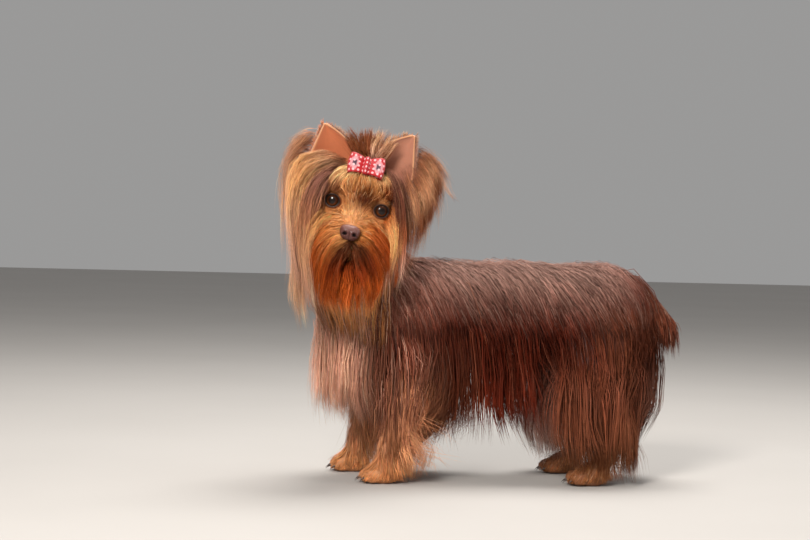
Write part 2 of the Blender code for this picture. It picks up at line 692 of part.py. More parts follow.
def head_locks():
    """Beard, moustache, cheeks, brow, the falls beside the ears and the fan of the topknot."""
    for side in (-1, 1):
        for step in range(3):
            head_lock((side * (4 + 7 * step), 20 - 9 * step, -42), (side * 0.15, 0.15, -1),
                      varied(BEARD_LENGTH - 3 * step), 16, 1.5, 0.01)
        for step in range(4):
            lean = step / 3
            head_lock((side * (8 + 17 * lean), 27 - 25 * lean, -17 + 3 * lean),
                      (side * 1, 0.1, -0.5 + 0.4 * lean), varied(MOUSTACHE_LENGTH + 8 * lean),
                      17, 5.5, 0.034 - 0.012 * lean)
        for step in range(3):
            head_lock((side * 35, -8 - 12 * step, -6 - 3 * step), (side * 0.8, 0.1, -0.6),
                      varied(CHEEK_LENGTH - 4 * step), 18, 3.0, 0.02, (side * 0.8, 0.5, 0))
        for step in range(4):
            head_lock((side * 34, -14 - 12 * step, 18 - 2 * step), (side * 1, 0.1, 0.15),
                      varied(FALL_LENGTH[side] - 8 * step), 22, FALL_LIFT[side] - 2.0 * step,
                      0.03, (side * 0.5, 0.8, 0))
        for step in range(2):
            head_lock((side * 26, -4 - 10 * step, 18 + 2 * step), (side * 1, 0.0, -0.1),
                      varied(FALL_LENGTH[side] * 0.8), 19, 9.0, 0.022, (side * 0.5, 0.8, 0))
        for step in range(3):
            head_lock((side * (4 + 9 * step), -1 - 3 * step, 15 + step),
                      (-side * 0.3 * step, -0.3, 1), BROW_LENGTH, 11, 1.2, 0.0)
        for row in range(2):
            for step in range(2):
                head_lock((side * (9 + 17 * step), -48 - 14 * row, 34 - 20 * row - 4 * step),
                          (side * 0.2 * step, -0.8, -0.6), varied(NAPE_LENGTH - 6 * row),
                          22, 7.0 - 4.5 * row, 0.02)
    for step in range(7):
        turn = math.radians(-60 + 20 * step)
        head_lock((3 * math.sin(turn), -12, 50), (math.sin(turn), -0.1 - 0.3 * (step % 2),
                  math.cos(turn)), varied(TOPKNOT_LENGTH), 9, 0.6, 0.01)


def ear_locks():
    """The long fringe that grows from the outer rim of each ear and falls outward."""
    for name, side in SIDE.items():
        base, tip = np.array(EAR_BASE), np.array(EAR_TIP[name])
        for step in range(4):
            share = 0.06 + 0.13 * step
            place = base + (tip - base) * np.array([share**2, share, share])
            place[0] += ear_half(share) - 3
            lock(f"ear_{name}", on_head(side * place[0], place[1], place[2]),
                 HEAD @ np.array([side * 1.0, -0.1, 0.2 - 0.15 * (side > 0)]),
                 varied(FRINGE_LENGTH[name] - 7 * step), 17, 0.0, 0.046, HEAD[:, 1])


def grown(locks, longer=1.0, higher=0.0):
    """Follows the locks from their sunk roots as they bend to the ground over the flesh."""
    pick = {key: np.array([one[key] for one in locks]) for key in locks[0]}
    loose = (pick["lift"] == 0.0)[:, None]
    place = pick["root"].copy()
    for _ in range(6):
        off = np.where(loose, 0, flesh_distance(place)[:, None])
        place -= flesh_normal(place) * off * 0.9
    turned = np.any(pick["facing"] != 0, axis=1)[:, None]
    away = flesh_normal(place)
    heading = unit(pick["heading"])
    inward = np.where(loose[:, 0], 0, np.sum(heading * away, axis=1))
    heading = unit(heading - away * inward[:, None])
    place -= away * np.where(loose, 0, ROOT_DEPTH)
    path, aways, headings = [place], [np.where(turned, pick["facing"], away)], [heading]
    stride = (pick["length"] * longer / STEPS)[:, None]
    lift = pick["lift"] + higher * (pick["lift"] > 0)
    for step in range(1, STEPS + 1):
        heading = unit(heading + pick["fall"][:, None] * DOWN * stride)
        place = place + heading * stride
        rise = min(1, step / STEPS / 0.3)
        wanted = -ROOT_DEPTH + (lift + ROOT_DEPTH) * rise * rise * (3 - 2 * rise)
        wanted = np.where(loose[:, 0], min(3, step), wanted)
        away = flesh_normal(place)
        place = place + away * np.clip(wanted - flesh_distance(place), 0, 6)[:, None]
        place[:, 2] = np.maximum(place[:, 2], FLOOR_GAP)
        heading = unit(heading - away * np.minimum(0, np.sum(heading * away, 1))[:, None])
        path.append(place)
        aways.append(np.where(turned, pick["facing"], away))
        headings.append(heading)
    return np.array(path), np.array(aways), np.array(headings)


def lock_shape(path, aways, headings, width, length, swell=0.0):
    """Points and triangles of one flat three-sided lock, tapering to its tip.

    Each lock leans a little to one side, so that its edge lies over its neighbour's.
    """
    lean = math.radians(LOCK_LEAN)
    points, faces = [], []
    stations = LONG_STATIONS if length > LONG else SHORT_STATIONS
    for station, share in stations:
        middle, away = path[station], aways[station]
        across = unit(np.cross(headings[station], away))
        away = unit(np.cross(across, headings[station]))
        across, away = (across * math.cos(lean) + away * math.sin(lean),
                        away * math.cos(lean) - across * math.sin(lean))
        half = share * width / 2 + swell
        points += [middle - across * half - away * swell,
                   middle + away * (share * width * LOCK_FLATNESS + swell),
                   middle + across * half - away * swell]
    points.append(path[-1])
    faces.append((0, 2, 1))
    for ring in range(len(stations) - 1):
        for one, other in ((0, 1), (1, 2), (2, 0)):
            a, b, c, d = 3 * ring + one, 3 * ring + other, 3 * ring + 3 + other, 3 * ring + 3 + one
            faces += [(a, b, c), (a, c, d)]
    last, tip = 3 * len(stations) - 3, len(points) - 1
    faces += [(last + one, last + other, tip) for one, other in ((0, 1), (1, 2), (2, 0))]
    return np.array(points), faces


def bvh_of(pieces):
    """A search tree over several (points, triangles) pieces."""
    points, faces = [], []
    for own_points, own_faces in pieces:
        faces += [tuple(index + len(points) for index in face) for face in own_faces]
        points += [tuple(point) for point in own_points]
    return BVHTree.FromPolygons(points, faces)


def folded(points, faces):
    """Whether a lock bends so tightly that it passes through itself."""
    tree = bvh_of([(points, faces)])
    return any(not set(faces[one]) & set(faces[other]) for one, other in tree.overlap(tree))


def triangles_of(node):
    node.data.calc_loop_triangles()
    return points_of(node), [tuple(triangle.vertices) for triangle in node.data.loop_triangles]


def add_locks(nodes):
    """Roots every lock in its node, bent or shortened until it clears the other nodes."""
    placed = {}
    for name in LOCK_ORDER:
        others = [triangles_of(node) for other, node in nodes.items() if other != name]
        others += [shape for other, shapes in placed.items() if other != name for shape in shapes]
        rest = bvh_of(others)
        waiting, placed[name] = LOCKS[name], []
        for longer, higher in LOCK_TRIES:
            if not waiting:
                break
            paths, aways, headings = grown(waiting, longer, higher)
            left = []
            for i, one in enumerate(waiting):
                shape = (paths[:, i], aways[:, i], headings[:, i], one["width"], one["length"])
                plain = lock_shape(*shape)
                if folded(*plain) or bvh_of([lock_shape(*shape, 0.4)]).overlap(rest):
                    left.append(one)
                else:
                    placed[name].append(plain)
            waiting = left
    for name, shapes in placed.items():
        boolean(nodes[name], [mesh_object("lock", *shape) for shape in shapes], "UNION", "MANIFOLD")


COLOURS = {
    "torso": (0.16, 0.09, 0.06), "neck": (0.42, 0.24, 0.12), "head": (0.62, 0.33, 0.11),
    "tail": (0.14, 0.08, 0.05), "leg": (0.58, 0.36, 0.17), "ear": (0.60, 0.36, 0.22),
    "eye": (0.03, 0.012, 0.008), "nose": (0.12, 0.05, 0.045), "bow": (0.55, 0.02, 0.03),
}
ROUGHNESS = {"eye": 0.08, "nose": 0.35, "bow": 0.55}

nodes = flesh_of_the_body()
carve_head(nodes)
body_locks()
neck_locks()
leg_locks()
tail_locks()
head_locks()
ear_locks()
add_locks(nodes)
for name, node in nodes.items():
    node.name = name
    node.data.transform(Matrix.Translation(Vector(PLACE * MM)))
    kind = next(kind for kind in COLOURS if kind in name)
    paint(node, name, COLOURS[kind], ROUGHNESS.get(kind, 0.8))
    node.data.shade_smooth()
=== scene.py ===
import math

import bmesh
import bpy
import numpy as np
from mathutils import Matrix, Vector, kdtree


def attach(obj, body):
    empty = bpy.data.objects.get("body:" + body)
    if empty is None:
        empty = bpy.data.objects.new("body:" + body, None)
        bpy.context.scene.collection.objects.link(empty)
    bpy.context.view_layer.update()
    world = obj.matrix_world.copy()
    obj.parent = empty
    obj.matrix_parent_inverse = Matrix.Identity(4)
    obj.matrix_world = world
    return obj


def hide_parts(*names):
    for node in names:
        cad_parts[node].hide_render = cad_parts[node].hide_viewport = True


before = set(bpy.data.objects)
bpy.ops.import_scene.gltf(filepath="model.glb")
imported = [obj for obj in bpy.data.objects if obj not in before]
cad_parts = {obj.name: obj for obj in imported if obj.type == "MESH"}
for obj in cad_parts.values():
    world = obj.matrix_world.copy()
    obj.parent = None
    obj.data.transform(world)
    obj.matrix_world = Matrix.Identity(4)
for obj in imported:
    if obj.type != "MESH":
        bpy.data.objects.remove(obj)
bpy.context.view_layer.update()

# ================================================================ skin
# The moulded body under the coat: one skin over the trunk, neck, head, legs and tail, cast in soft
# vinyl and painted in a darker copy of the colours that the hair over it has, as painted shade under
# the coat. It carries the coat, and shows by itself only on the bridge of the muzzle, round the eyes
# and between the toes.
MM = 0.001
PLACE = np.array([8.2, 20.0, 0.0])  # from the dog's own axes to the frame's, in millimetres
SIDE = {"left": -1.0, "right": 1.0}
EYE_MIDDLE = np.array([-142.0, -80.0, 267.0])
HEAD_TURN, HEAD_TILT = math.radians(4.4), math.radians(11.0)
KNOT_FOOT, KNOT_TOP = (0.0, -11.0, 26.0), (0.0, -14.0, 50.0)
TAIL_ROOT, TAIL_TIP = (146.0, 0.0, 190.0), (180.0, 0.0, 157.0)
FORE_PAW_X = {"left": -108.0, "right": -131.0}
HIND_PAW_X = {"left": 94.0, "right": 83.0}
FORE_TRACK, HIND_TRACK = 42.0, 44.0
PAW_HALF = np.array([18.0, 13.0, 10.5])
TOES = (-1.5, -0.5, 0.5, 1.5)


def unit(v):
    v = np.asarray(v, float)
    return v / np.maximum(np.linalg.norm(v, axis=-1, keepdims=True), 1e-9)


face_forward = np.array([-math.sin(HEAD_TURN), -math.cos(HEAD_TURN), 0.0])
face_up = np.array([math.sin(HEAD_TILT), 0.0, math.cos(HEAD_TILT)])
face_up = unit(face_up - face_forward * (face_up @ face_forward))
HEAD = np.stack([np.cross(face_forward, face_up), face_forward, face_up], axis=-1)


def on_head(*place):
    """A place on the head, given to its right, forward and up from between the eyes."""
    return EYE_MIDDLE + np.asarray(place, float) @ HEAD.T


def egg(centre, radii, axes=None, soft=9.0):
    return [np.array([centre], float), np.array(radii, float), axes, soft]


def limb(start, end, start_radius, end_radius, soft=9.0):
    return [np.array([start, end], float), np.array([start_radius, end_radius], float), None, soft]


def toe_place(paw_x, paw_y, toe):
    """Where a toe stands in front of its paw's middle."""
    return paw_x - PAW_HALF[0] * (0.72 - 0.1 * toe**2), paw_y + toe * PAW_HALF[1] * 0.52


def leg_masses(end, name):
    side = SIDE[name]
    if end == "fore":
        paw_x, track = FORE_PAW_X[name], FORE_TRACK
        wrist = (paw_x + 9, side * track, 34)
        joints = [limb((paw_x + 20, side * (track - 5), 112), wrist, 16, 9.5),
                  limb(wrist, (paw_x + 3, side * track, 14), 9.5, 10)]
    else:
        paw_x, track = HIND_PAW_X[name], HIND_TRACK
        hock = (paw_x + 30, side * track, 52)
        joints = [limb((paw_x - 2, side * (track - 6), 114), hock, 21, 10.5),
                  limb(hock, (paw_x + 10, side * track, 15), 10, 9.5)]
    toes = [egg((*toe_place(paw_x, side * track, toe), 7.5), (8.5, 3.6, 6.6), None, 1.6) for toe in TOES]
    return joints + [egg((paw_x + 2, side * track, 9), PAW_HALF * (0.9, 1, 1))] + toes


tail_mass = limb(TAIL_ROOT, TAIL_TIP, 9, 5)
trunk_masses = [egg((-75, 0, 158), (72, 42, 50)), egg((20, 0, 167), (82, 38, 40)),
                egg((105, 0, 162), (58, 42, 45)), egg((-130, 0, 150), (34, 34, 40)),
                limb((-95, 0, 176), (110, 0, 175), 31, 31),
                limb((-120, 0, 182), (-136, -18, 226), 38, 32),
                limb((-136, -18, 226), (-140, -40, 254), 32, 28), tail_mass]
head_masses = [egg(on_head(0, -27, 6), (34, 36, 31), HEAD),
               limb(on_head(0, -4, -14), on_head(0, 21, -22), 16, 11, 7),
               limb(on_head(0, -10, -32), on_head(0, 17, -33.5), 12, 6.5, 5),
               limb(on_head(*KNOT_FOOT), on_head(*KNOT_TOP), 7, 6, 5)]
for side in SIDE.values():
    trunk_masses += [egg((-103, side * 31, 149), (34, 17, 46)), egg((104, side * 33, 134), (38, 19, 48))]
    head_masses += [egg(on_head(side * 18, -15, -15), (15, 21, 18), HEAD, 7),
                    egg(on_head(side * 15, -7, 11), (13, 9, 8), HEAD, 5),
                    egg(on_head(side * 7.5, 17, -26), (7.5, 10, 6), HEAD, 3)]
masses = trunk_masses + head_masses
for end in ("fore", "hind"):
    for name in SIDE:
        masses += leg_masses(end, name)
SOCKET_RADIUS = 11.0
eye_sockets = [on_head(-24.0, 5.0, 0.5), on_head(21.5, 5.0, 0.5)]


def mass_depth(points, mass):
    """How far points lie outside one mass, in millimetres."""
    ends, radii, axes, _ = mass
    if len(ends) == 1:
        local = points - ends[0]
        if axes is not None:
            local = local @ axes
        near = np.linalg.norm(local / radii, axis=-1)
        slope = np.linalg.norm(local / radii**2, axis=-1)
        return near * (near - 1) / np.maximum(slope, 1e-6)
    along = ends[1] - ends[0]
    share = np.clip((points - ends[0]) @ along / (along @ along), 0, 1)
    centre = ends[0] + share[..., None] * along
    return np.linalg.norm(points - centre, axis=-1) - (radii[0] + (radii[1] - radii[0]) * share)


def skin_depth(points):
    """How far points lie outside the skin: all the masses run smoothly into each other."""
    total = np.full(points.shape[:-1], 1e3)
    for mass in masses:
        one = mass_depth(points, mass)
        share = np.clip(0.5 + 0.5 * (total - one) / mass[3], 0, 1)
        total = total * (1 - share) + one * share - mass[3] * share * (1 - share)
    for socket in eye_sockets:
        hollow = SOCKET_RADIUS - np.linalg.norm(points - socket, axis=-1)
        share = np.clip(0.5 - 0.5 * (hollow - total) / 3, 0, 1)
        total = hollow * (1 - share) + total * share + 3 * share * (1 - share)
    return total


def skin_out(points, reach=0.5):
    steps = np.eye(3) * reach
    return unit(np.stack([skin_depth(points + s) - skin_depth(points - s) for s in steps], -1))


def new_piece(name, mesh):
    made = bpy.data.objects.new(name, mesh)
    bpy.context.scene.collection.objects.link(made)
    return made


def remeshed_masses(voxel):
    """A rough lump of balls that fills the masses, remeshed into one closed skin."""
    shape = bmesh.new()
    for ends, radii, axes, _ in masses:
        if len(ends) == 1:
            turn = Matrix(axes.tolist()).to_4x4() if axes is not None else Matrix()
            matrix = Matrix.Translation(ends[0]) @ turn @ Matrix.Diagonal((*radii, 1.0))
            bmesh.ops.create_icosphere(shape, subdivisions=3, radius=1.0, matrix=matrix)
            continue
        count = int(np.linalg.norm(ends[1] - ends[0]) / 4) + 2
        for share in np.linspace(0, 1, count):
            matrix = Matrix.Translation(ends[0] + share * (ends[1] - ends[0]))
            radius = radii[0] + share * (radii[1] - radii[0])
            bmesh.ops.create_icosphere(shape, subdivisions=2, radius=radius, matrix=matrix)
    lump = new_piece("lump", bpy.data.meshes.new("lump"))
    shape.to_mesh(lump.data)
    shape.free()
    lump.modifiers.new("one skin", "REMESH").voxel_size = voxel
    graph = bpy.context.evaluated_depsgraph_get()
    done = bpy.data.meshes.new_from_object(lump.evaluated_get(graph))
    bpy.data.objects.remove(lump)
    return done


def places_of(mesh):
    flat = np.empty(len(mesh.vertices) * 3)
    mesh.vertices.foreach_get("co", flat)
    return flat.reshape(-1, 3)


def set_places(mesh, points):
    mesh.vertices.foreach_set("co", np.asarray(points, float).ravel())
    mesh.update()


VOXEL, FACE_MIDDLE, FACE_RADIUS = 3.0, on_head(0, 0, -5), 52.0
skin_mesh = remeshed_masses(VOXEL)
shape = bmesh.new()
shape.from_mesh(skin_mesh)
fine = [f for f in shape.faces if np.linalg.norm(np.array(f.calc_center_median()) - FACE_MIDDLE) < FACE_RADIUS]
bmesh.ops.subdivide_edges(shape, edges=list({e for f in fine for e in f.edges}), cuts=1, use_grid_fill=True)
bmesh.ops.triangulate(shape, faces=[f for f in shape.faces if len(f.verts) > 4])
shape.to_mesh(skin_mesh)
shape.free()
skin_points = places_of(skin_mesh)
for _ in range(5):
    skin_points -= skin_out(skin_points) * np.clip(skin_depth(skin_points), -3, 3)[:, None]
skin_points[:, 2] = np.maximum(skin_points[:, 2], 0.4)
set_places(skin_mesh, skin_points)


def patch(points, centre, radii):
    """How strongly a patch of colour shows: 1 at its middle, fading to nothing at its edge."""
    away = np.linalg.norm((points - np.asarray(centre, float)) / np.asarray(radii, float), axis=-1)
    return np.clip(1.6 * (1 - away), 0, 1)


def ramp(value, low, high):
    """Rises smoothly from 0 at low to 1 at high."""
    share = np.clip((value - low) / (high - low), 0, 1)
    return share * share * (3 - 2 * share)


def toward(colours, goal, share):
    """Colours moved a share of the way towards another colour."""
    return colours + (np.asarray(goal) - colours) * np.asarray(share)[..., None]


CHOCOLATE, PLUM_HIGHLIGHT, COCOA = (0.083, 0.0115, 0.005), (0.19, 0.083, 0.063), (0.26, 0.082, 0.053)
BEIGE, TAN, GOLD = (0.72, 0.37, 0.26), (0.68, 0.29, 0.15), (0.70, 0.28, 0.095)
RUST, UMBER, ASH, MAUVE = (0.14, 0.038, 0.019), (0.20, 0.055, 0.020), (0.42, 0.25, 0.18), (0.30, 0.155, 0.12)
# the pale colour below, and the plum one above, are painted highlight for the top of the back
SHEEN_HIGHLIGHT = (0.31, 0.178, 0.145)


def markings_with_painted_light(points):
    """The coat's colour at places on the skin: a chocolate saddle with tan legs, chest and head, with a painted
    highlight along the top of the back and painted shade on the brow and at the mouth.
    """
    x, y, z = points.T
    head = (points - EYE_MIDDLE) @ HEAD
    _, forward, up = head.T
    on = ramp(-np.linalg.norm(head - (0, -14, 0), axis=-1), -74, -58)
    on = on * ramp(forward, -46, -30) * ramp(up, -62, -46)
    colour = np.tile(CHOCOLATE, (len(points), 1))
    for tone, share in (
            # the upper back painted lighter, plum and then pale towards the top, as a painted highlight
            (PLUM_HIGHLIGHT, 0.9 * ramp(z, 150, 186) * ramp(x, -125, -80) * ramp(-x, -168, -100)),
            (SHEEN_HIGHLIGHT, 0.85 * ramp(z, 172, 214) * ramp(x, -125, -80) * ramp(-x, -165, -80)),
            (RUST, ramp(-z, -135, -90) * ramp(x, 40, 70)),
            (RUST, 0.8 * ramp(x, 80, 120) * ramp(-z, -185, -160)),
            (COCOA, 0.8 * patch(points, (-92, 0, 165), (62, 90, 75))),
            (BEIGE, ramp(-x, 112, 140) * ramp(-z, -222, -190)),
            (TAN, ramp(-z, -108, -84) * ramp(-x, 40, 70)),
            (GOLD, 0.8 * ramp(-z, -50, -20) * ramp(-x, 40, 70)),
            (GOLD, 0.35 * ramp(-z, -40, -14) * ramp(x, 40, 70)),
            (MAUVE, 0.8 * ramp(-np.abs(y), -47, -38) * ramp(x, 40, 70) * ramp(-z, -112, -90) * ramp(z, 22, 40)),
            (GOLD, on),
            ((0.86, 0.43, 0.185), on * 0.8 * patch(head, (0, 12, -10), (12, 26, 16))),
            # the brow between the eyes painted dark, as painted shade below the brow's bulge
            ((0.12, 0.020, 0.004), on * 0.97 * patch(head, (-6, 2, 5.5), (14, 20, 12.5))),
            ((0.52, 0.15, 0.045), on * 0.6 * patch(head, (-24, 0, -20), (14, 30, 18))),
            (UMBER, on * 0.6 * patch(head, (0, -14, 48), (13, 13, 16))),
            # the muzzle under the nose painted dark, as painted shade at the mouth
            ((0.10, 0.030, 0.012), on * 0.9 * patch(head, (0, 26, -37), (15, 16, 7)))):
        colour = toward(colour, tone, share)
    return colour


def add_paint(mesh, colours, darkest=0.002):
    """The painted layer that a piece's material shows, from a colour for each point."""
    paint = np.c_[np.clip(colours, darkest, 1), np.ones(len(colours))]
    mesh.color_attributes.new("coat", "FLOAT_COLOR", "POINT").data.foreach_set("color", paint.ravel())


# the skin is painted in the coat's colours darkened to 0.7, as painted shade under the coat
add_paint(skin_mesh, markings_with_painted_light(skin_points) * 0.7)


def feed(tree, made, **inputs):
    """Sets inputs of a node to plain values, or links them to outputs of others."""
    for name, value in inputs.items():
        socket = made.inputs[name.replace("_", " ")]
        if isinstance(value, bpy.types.NodeSocket):
            tree.links.new(value, socket)
        else:
            socket.default_value = value
    return made


def node(tree, kind, **inputs):
    return feed(tree, tree.nodes.new("ShaderNode" + kind), **inputs)


def node_material(name, roughness, **sockets):
    """A new material with its tree and its Principled shader, whose even values sit on its own sockets."""
    made = bpy.data.materials.new(name)
    made.use_nodes = True
    tree = made.node_tree
    return made, tree, feed(tree, tree.nodes["Principled BSDF"], Roughness=roughness, **sockets)


def noise(tree, scale, detail=3.0, kind="TexNoise"):
    where = node(tree, "TexCoord").outputs["Object"]
    return node(tree, kind, Vector=where, Scale=scale, Detail=detail).outputs[0]


def mottled(tree, shader, scale, amount):
    """Colour from the piece's painted layer, lightened and darkened a little by a fine mottle."""
    paint, mix = node(tree, "VertexColor"), node(tree, "VectorMath")
    paint.layer_name, mix.operation = "coat", "SCALE"
    grain = noise(tree, scale)
    level = node(tree, "MapRange", Value=grain, To_Min=1 - amount, To_Max=1 + amount)
    feed(tree, mix, Vector=paint.outputs["Color"], Scale=level.outputs["Result"])
    feed(tree, shader, Base_Color=mix.outputs["Vector"])
    return grain


def bump(tree, shader, height, strength, distance):
    rise = node(tree, "Bump", Height=height, Strength=strength, Distance=distance)
    feed(tree, shader, Normal=rise.outputs["Normal"])


def to_frame(mesh):
    """Sets a mesh made in the dog's own millimetres into the frame's metres."""
    set_places(mesh, (places_of(mesh) + PLACE) * MM)
    mesh.polygons.foreach_set("use_smooth", [True] * len(mesh.polygons))


skin = new_piece("skin", skin_mesh)
bpy.context.view_layer.objects.active = skin
skin.select_set(True)
skin_mesh.uv_layers.new(name="OFBake")
bpy.ops.object.mode_set(mode="EDIT")
bpy.ops.mesh.select_all(action="SELECT")
bpy.ops.uv.smart_project(angle_limit=math.radians(66), island_margin=0.004)
bpy.ops.object.mode_set(mode="OBJECT")
skin.select_set(False)

# What the coat needs of the skin, read before it is set into the frame: the corners of its
# triangles, and where they lie on the unwrap.
skin_mesh.calc_loop_triangles()
corners, corner_loops = np.empty((2, len(skin_mesh.loop_triangles) * 3), int)
skin_mesh.loop_triangles.foreach_get("vertices", corners)
skin_mesh.loop_triangles.foreach_get("loops", corner_loops)
unwrap = np.empty(len(skin_mesh.loops) * 2)
skin_mesh.uv_layers["OFBake"].data.foreach_get("uv", unwrap)
corner_places = skin_points[corners].reshape(-1, 3, 3)
corner_unwrap = unwrap.reshape(-1, 2)[corner_loops].reshape(-1, 3, 2)

skin_paint, tree, shader = node_material("painted_skin", 0.62)
mottled(tree, shader, 260.0, 0.25)
bump(tree, shader, noise(tree, 900.0, 2.0), 0.5, 0.0004)
skin_mesh.materials.append(skin_paint)
to_frame(skin_mesh)
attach(skin, "root")
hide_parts("torso", "neck", "head", "tail",
            *[f"{end}leg_{name}" for end in ("fore", "hind") for name in SIDE])

# ================================================================ saddle
# The long straight coat of the back and sides: fine silk parted along the spine and laid down each
# side, an outer layer over the back and a darker, longer one under it that ends in a loose hem.
# Every blade of hair is rooted in the skin, follows its lie, and is set there with a little lacquer.
COARSE_STEP, COMB_STEP = 3.6, 3.0
DOWN = np.array([0.0, 0.0, -1.0])


def skin_reader(low, high, step):
    """Reads depth over the skin and the way out of it anywhere in a box, quickly."""
    low = np.array(low, float)
    axes = [np.arange(a, b + step, step) for a, b in zip(low, high)]
    size = np.array([len(a) for a in axes])
    depth = np.empty(size)
    for i, x in enumerate(axes[0]):
        sheet = np.stack(np.meshgrid([x], axes[1], axes[2], indexing="ij"), -1)
        depth[i] = skin_depth(sheet)[0]
    table = np.concatenate([depth[..., None], np.stack(np.gradient(depth, step), -1)], -1).reshape(-1, 4)

    def near(points):
        place = np.clip((points - low) / step, 0, size - 1.001)
        base = place.astype(int)
        share = place - base
        found = np.zeros((len(points), 4))
        for corner in np.ndindex(2, 2, 2):
            index = base + corner
            weight = np.prod(np.where(corner, share, 1 - share), axis=1)
            found += weight[:, None] * table[(index[:, 0] * size[1] + index[:, 1]) * size[2] + index[:, 2]]
        return found[:, 0], unit(found[:, 1:])

    return near


near_body = skin_reader((-225, -125, -4), (228, 120, 368), COARSE_STEP)


def roots_on_skin(count, density, seed):
    """Roots spread over the skin, as dense as density says, and their places on its unwrap."""
    rng = np.random.default_rng(seed)
    a, b, c = corner_places[:, 0], corner_places[:, 1], corner_places[:, 2]
    area = np.linalg.norm(np.cross(b - a, c - a), axis=1) * density((a + b + c) / 3)
    total = np.cumsum(area)
    picks = np.searchsorted(total, (np.arange(count) + rng.random(count)) / count * total[-1])
    picks = np.minimum(picks, len(total) - 1)
    first, second = rng.random((2, count, 1))
    over = first + second > 1
    first, second = np.where(over, 1 - first, first), np.where(over, 1 - second, second)
    blend = [1 - first - second, first, second]
    return (sum(w * corner_places[picks, i] for i, w in enumerate(blend)),
            sum(w * corner_unwrap[picks, i] for i, w in enumerate(blend)))


def comb(roots, lie, reach, lift, droop, hem, stations, near, step=COMB_STEP, rise=12.0):
    """Lays hairs from their roots: each follows its lie at its lift over the skin, then hangs free."""
    reach, lift, droop, hem = (np.broadcast_to(v, len(roots)).astype(float) for v in (reach, lift, droop, hem))
    heading, path = unit(lie), [roots.copy()]
    steps = np.zeros(len(roots))
    for k in range(1, int(np.ceil(reach.max() / step)) + 1):
        here = path[-1]
        gap, out = near(here)
        heading = heading + DOWN * (droop * step / 10)[:, None]
        low = lift * min(k * step / rise, 1) - gap
        low = np.where(low < 0, low * ramp(out[:, 2], -0.25, 0.15), low)
        inward = np.minimum((heading * out).sum(1), 0) * (gap < lift + 5)
        heading = unit(heading - out * (inward - np.clip(low / step, -0.3, 0.6))[:, None])
        going = (k * step <= reach) & (here[:, 2] > hem)
        steps += going
        path.append(here + heading * (step * going)[:, None])
    path = np.array(path)
    place = np.linspace(0, 1, stations)[:, None] ** 1.2 * np.maximum(steps, 1)
    base = np.minimum(place.astype(int), len(path) - 2)
    share = (place - base)[..., None]
    each = np.arange(len(roots))
    return path[base, each] * (1 - share) + path[base + 1, each] * share


def gather(paths, spacing, strength, seed):
    """Draws hairs together into locks, more towards their tips, as long silk clings."""
    rng = np.random.default_rng(seed)
    count = paths.shape[1]
    guides = rng.choice(count, max(2, count // spacing), replace=False)
    tree = kdtree.KDTree(len(guides))
    middle = paths[len(paths) // 3]
    for i, guide in enumerate(guides):
        tree.insert(middle[guide], i)
    tree.balance()
    own = np.array([guides[tree.find(p)[1]] for p in middle])
    share = strength * np.linspace(0, 1, len(paths))[:, None, None] ** 0.9
    share = share * rng.uniform(0.5, 1.15, count)[None, :, None]
    return paths + (paths[:, own] - paths) * np.clip(share, 0, 0.96), own


def wave(paths, own, size, length, seed, near):
    """Gives each lock a slow wave, and each hair in it a small one of its own."""
    rng = np.random.default_rng(seed)
    count = paths.shape[1]
    along = np.linalg.norm(np.diff(paths, axis=0), axis=2)
    along = np.vstack([np.zeros(count), np.cumsum(along, axis=0)])
    heading = unit(np.gradient(paths, axis=0))
    out = near(paths[len(paths) // 3])[1]
    across = unit(np.cross(heading, out))
    phases = rng.uniform(0, 2 * math.pi, (3, count))
    swing = 0.75 * np.sin(along / length * 2 * math.pi + phases[0][own])
    swing += 0.4 * np.sin(along / length * 3.7 * math.pi + phases[1])
    swell = 0.35 * np.cos(along / length * 2 * math.pi + phases[2][own])
    grown = np.minimum(along / 25, 1)
    return paths + (across * swing[..., None] + out * swell[..., None]) * (size * grown)[..., None]


def curled(paths, near, clump, curl, seeds):
    """Hairs gathered into locks, then waved. Each has the number of its own lock's guide."""
    paths, own = gather(paths, *clump, seeds[0])
    return wave(paths, own, *curl, seeds[1], near), own


def hair_material(name, roughness):
    """Lacquered hair: each blade keeps its own colour, with a fine streak and a soft sheen."""
    made, tree, shader = node_material(name, roughness, Specular_IOR_Level=0.12,
                                       Specular_Tint=(1.0, 0.72, 0.55, 1.0))
    grain = mottled(tree, shader, 700.0, 0.18)
    level = node(tree, "MapRange", Value=grain, To_Min=roughness - 0.08, To_Max=roughness + 0.10)
    feed(tree, shader, Roughness=level.outputs["Result"])
    return made


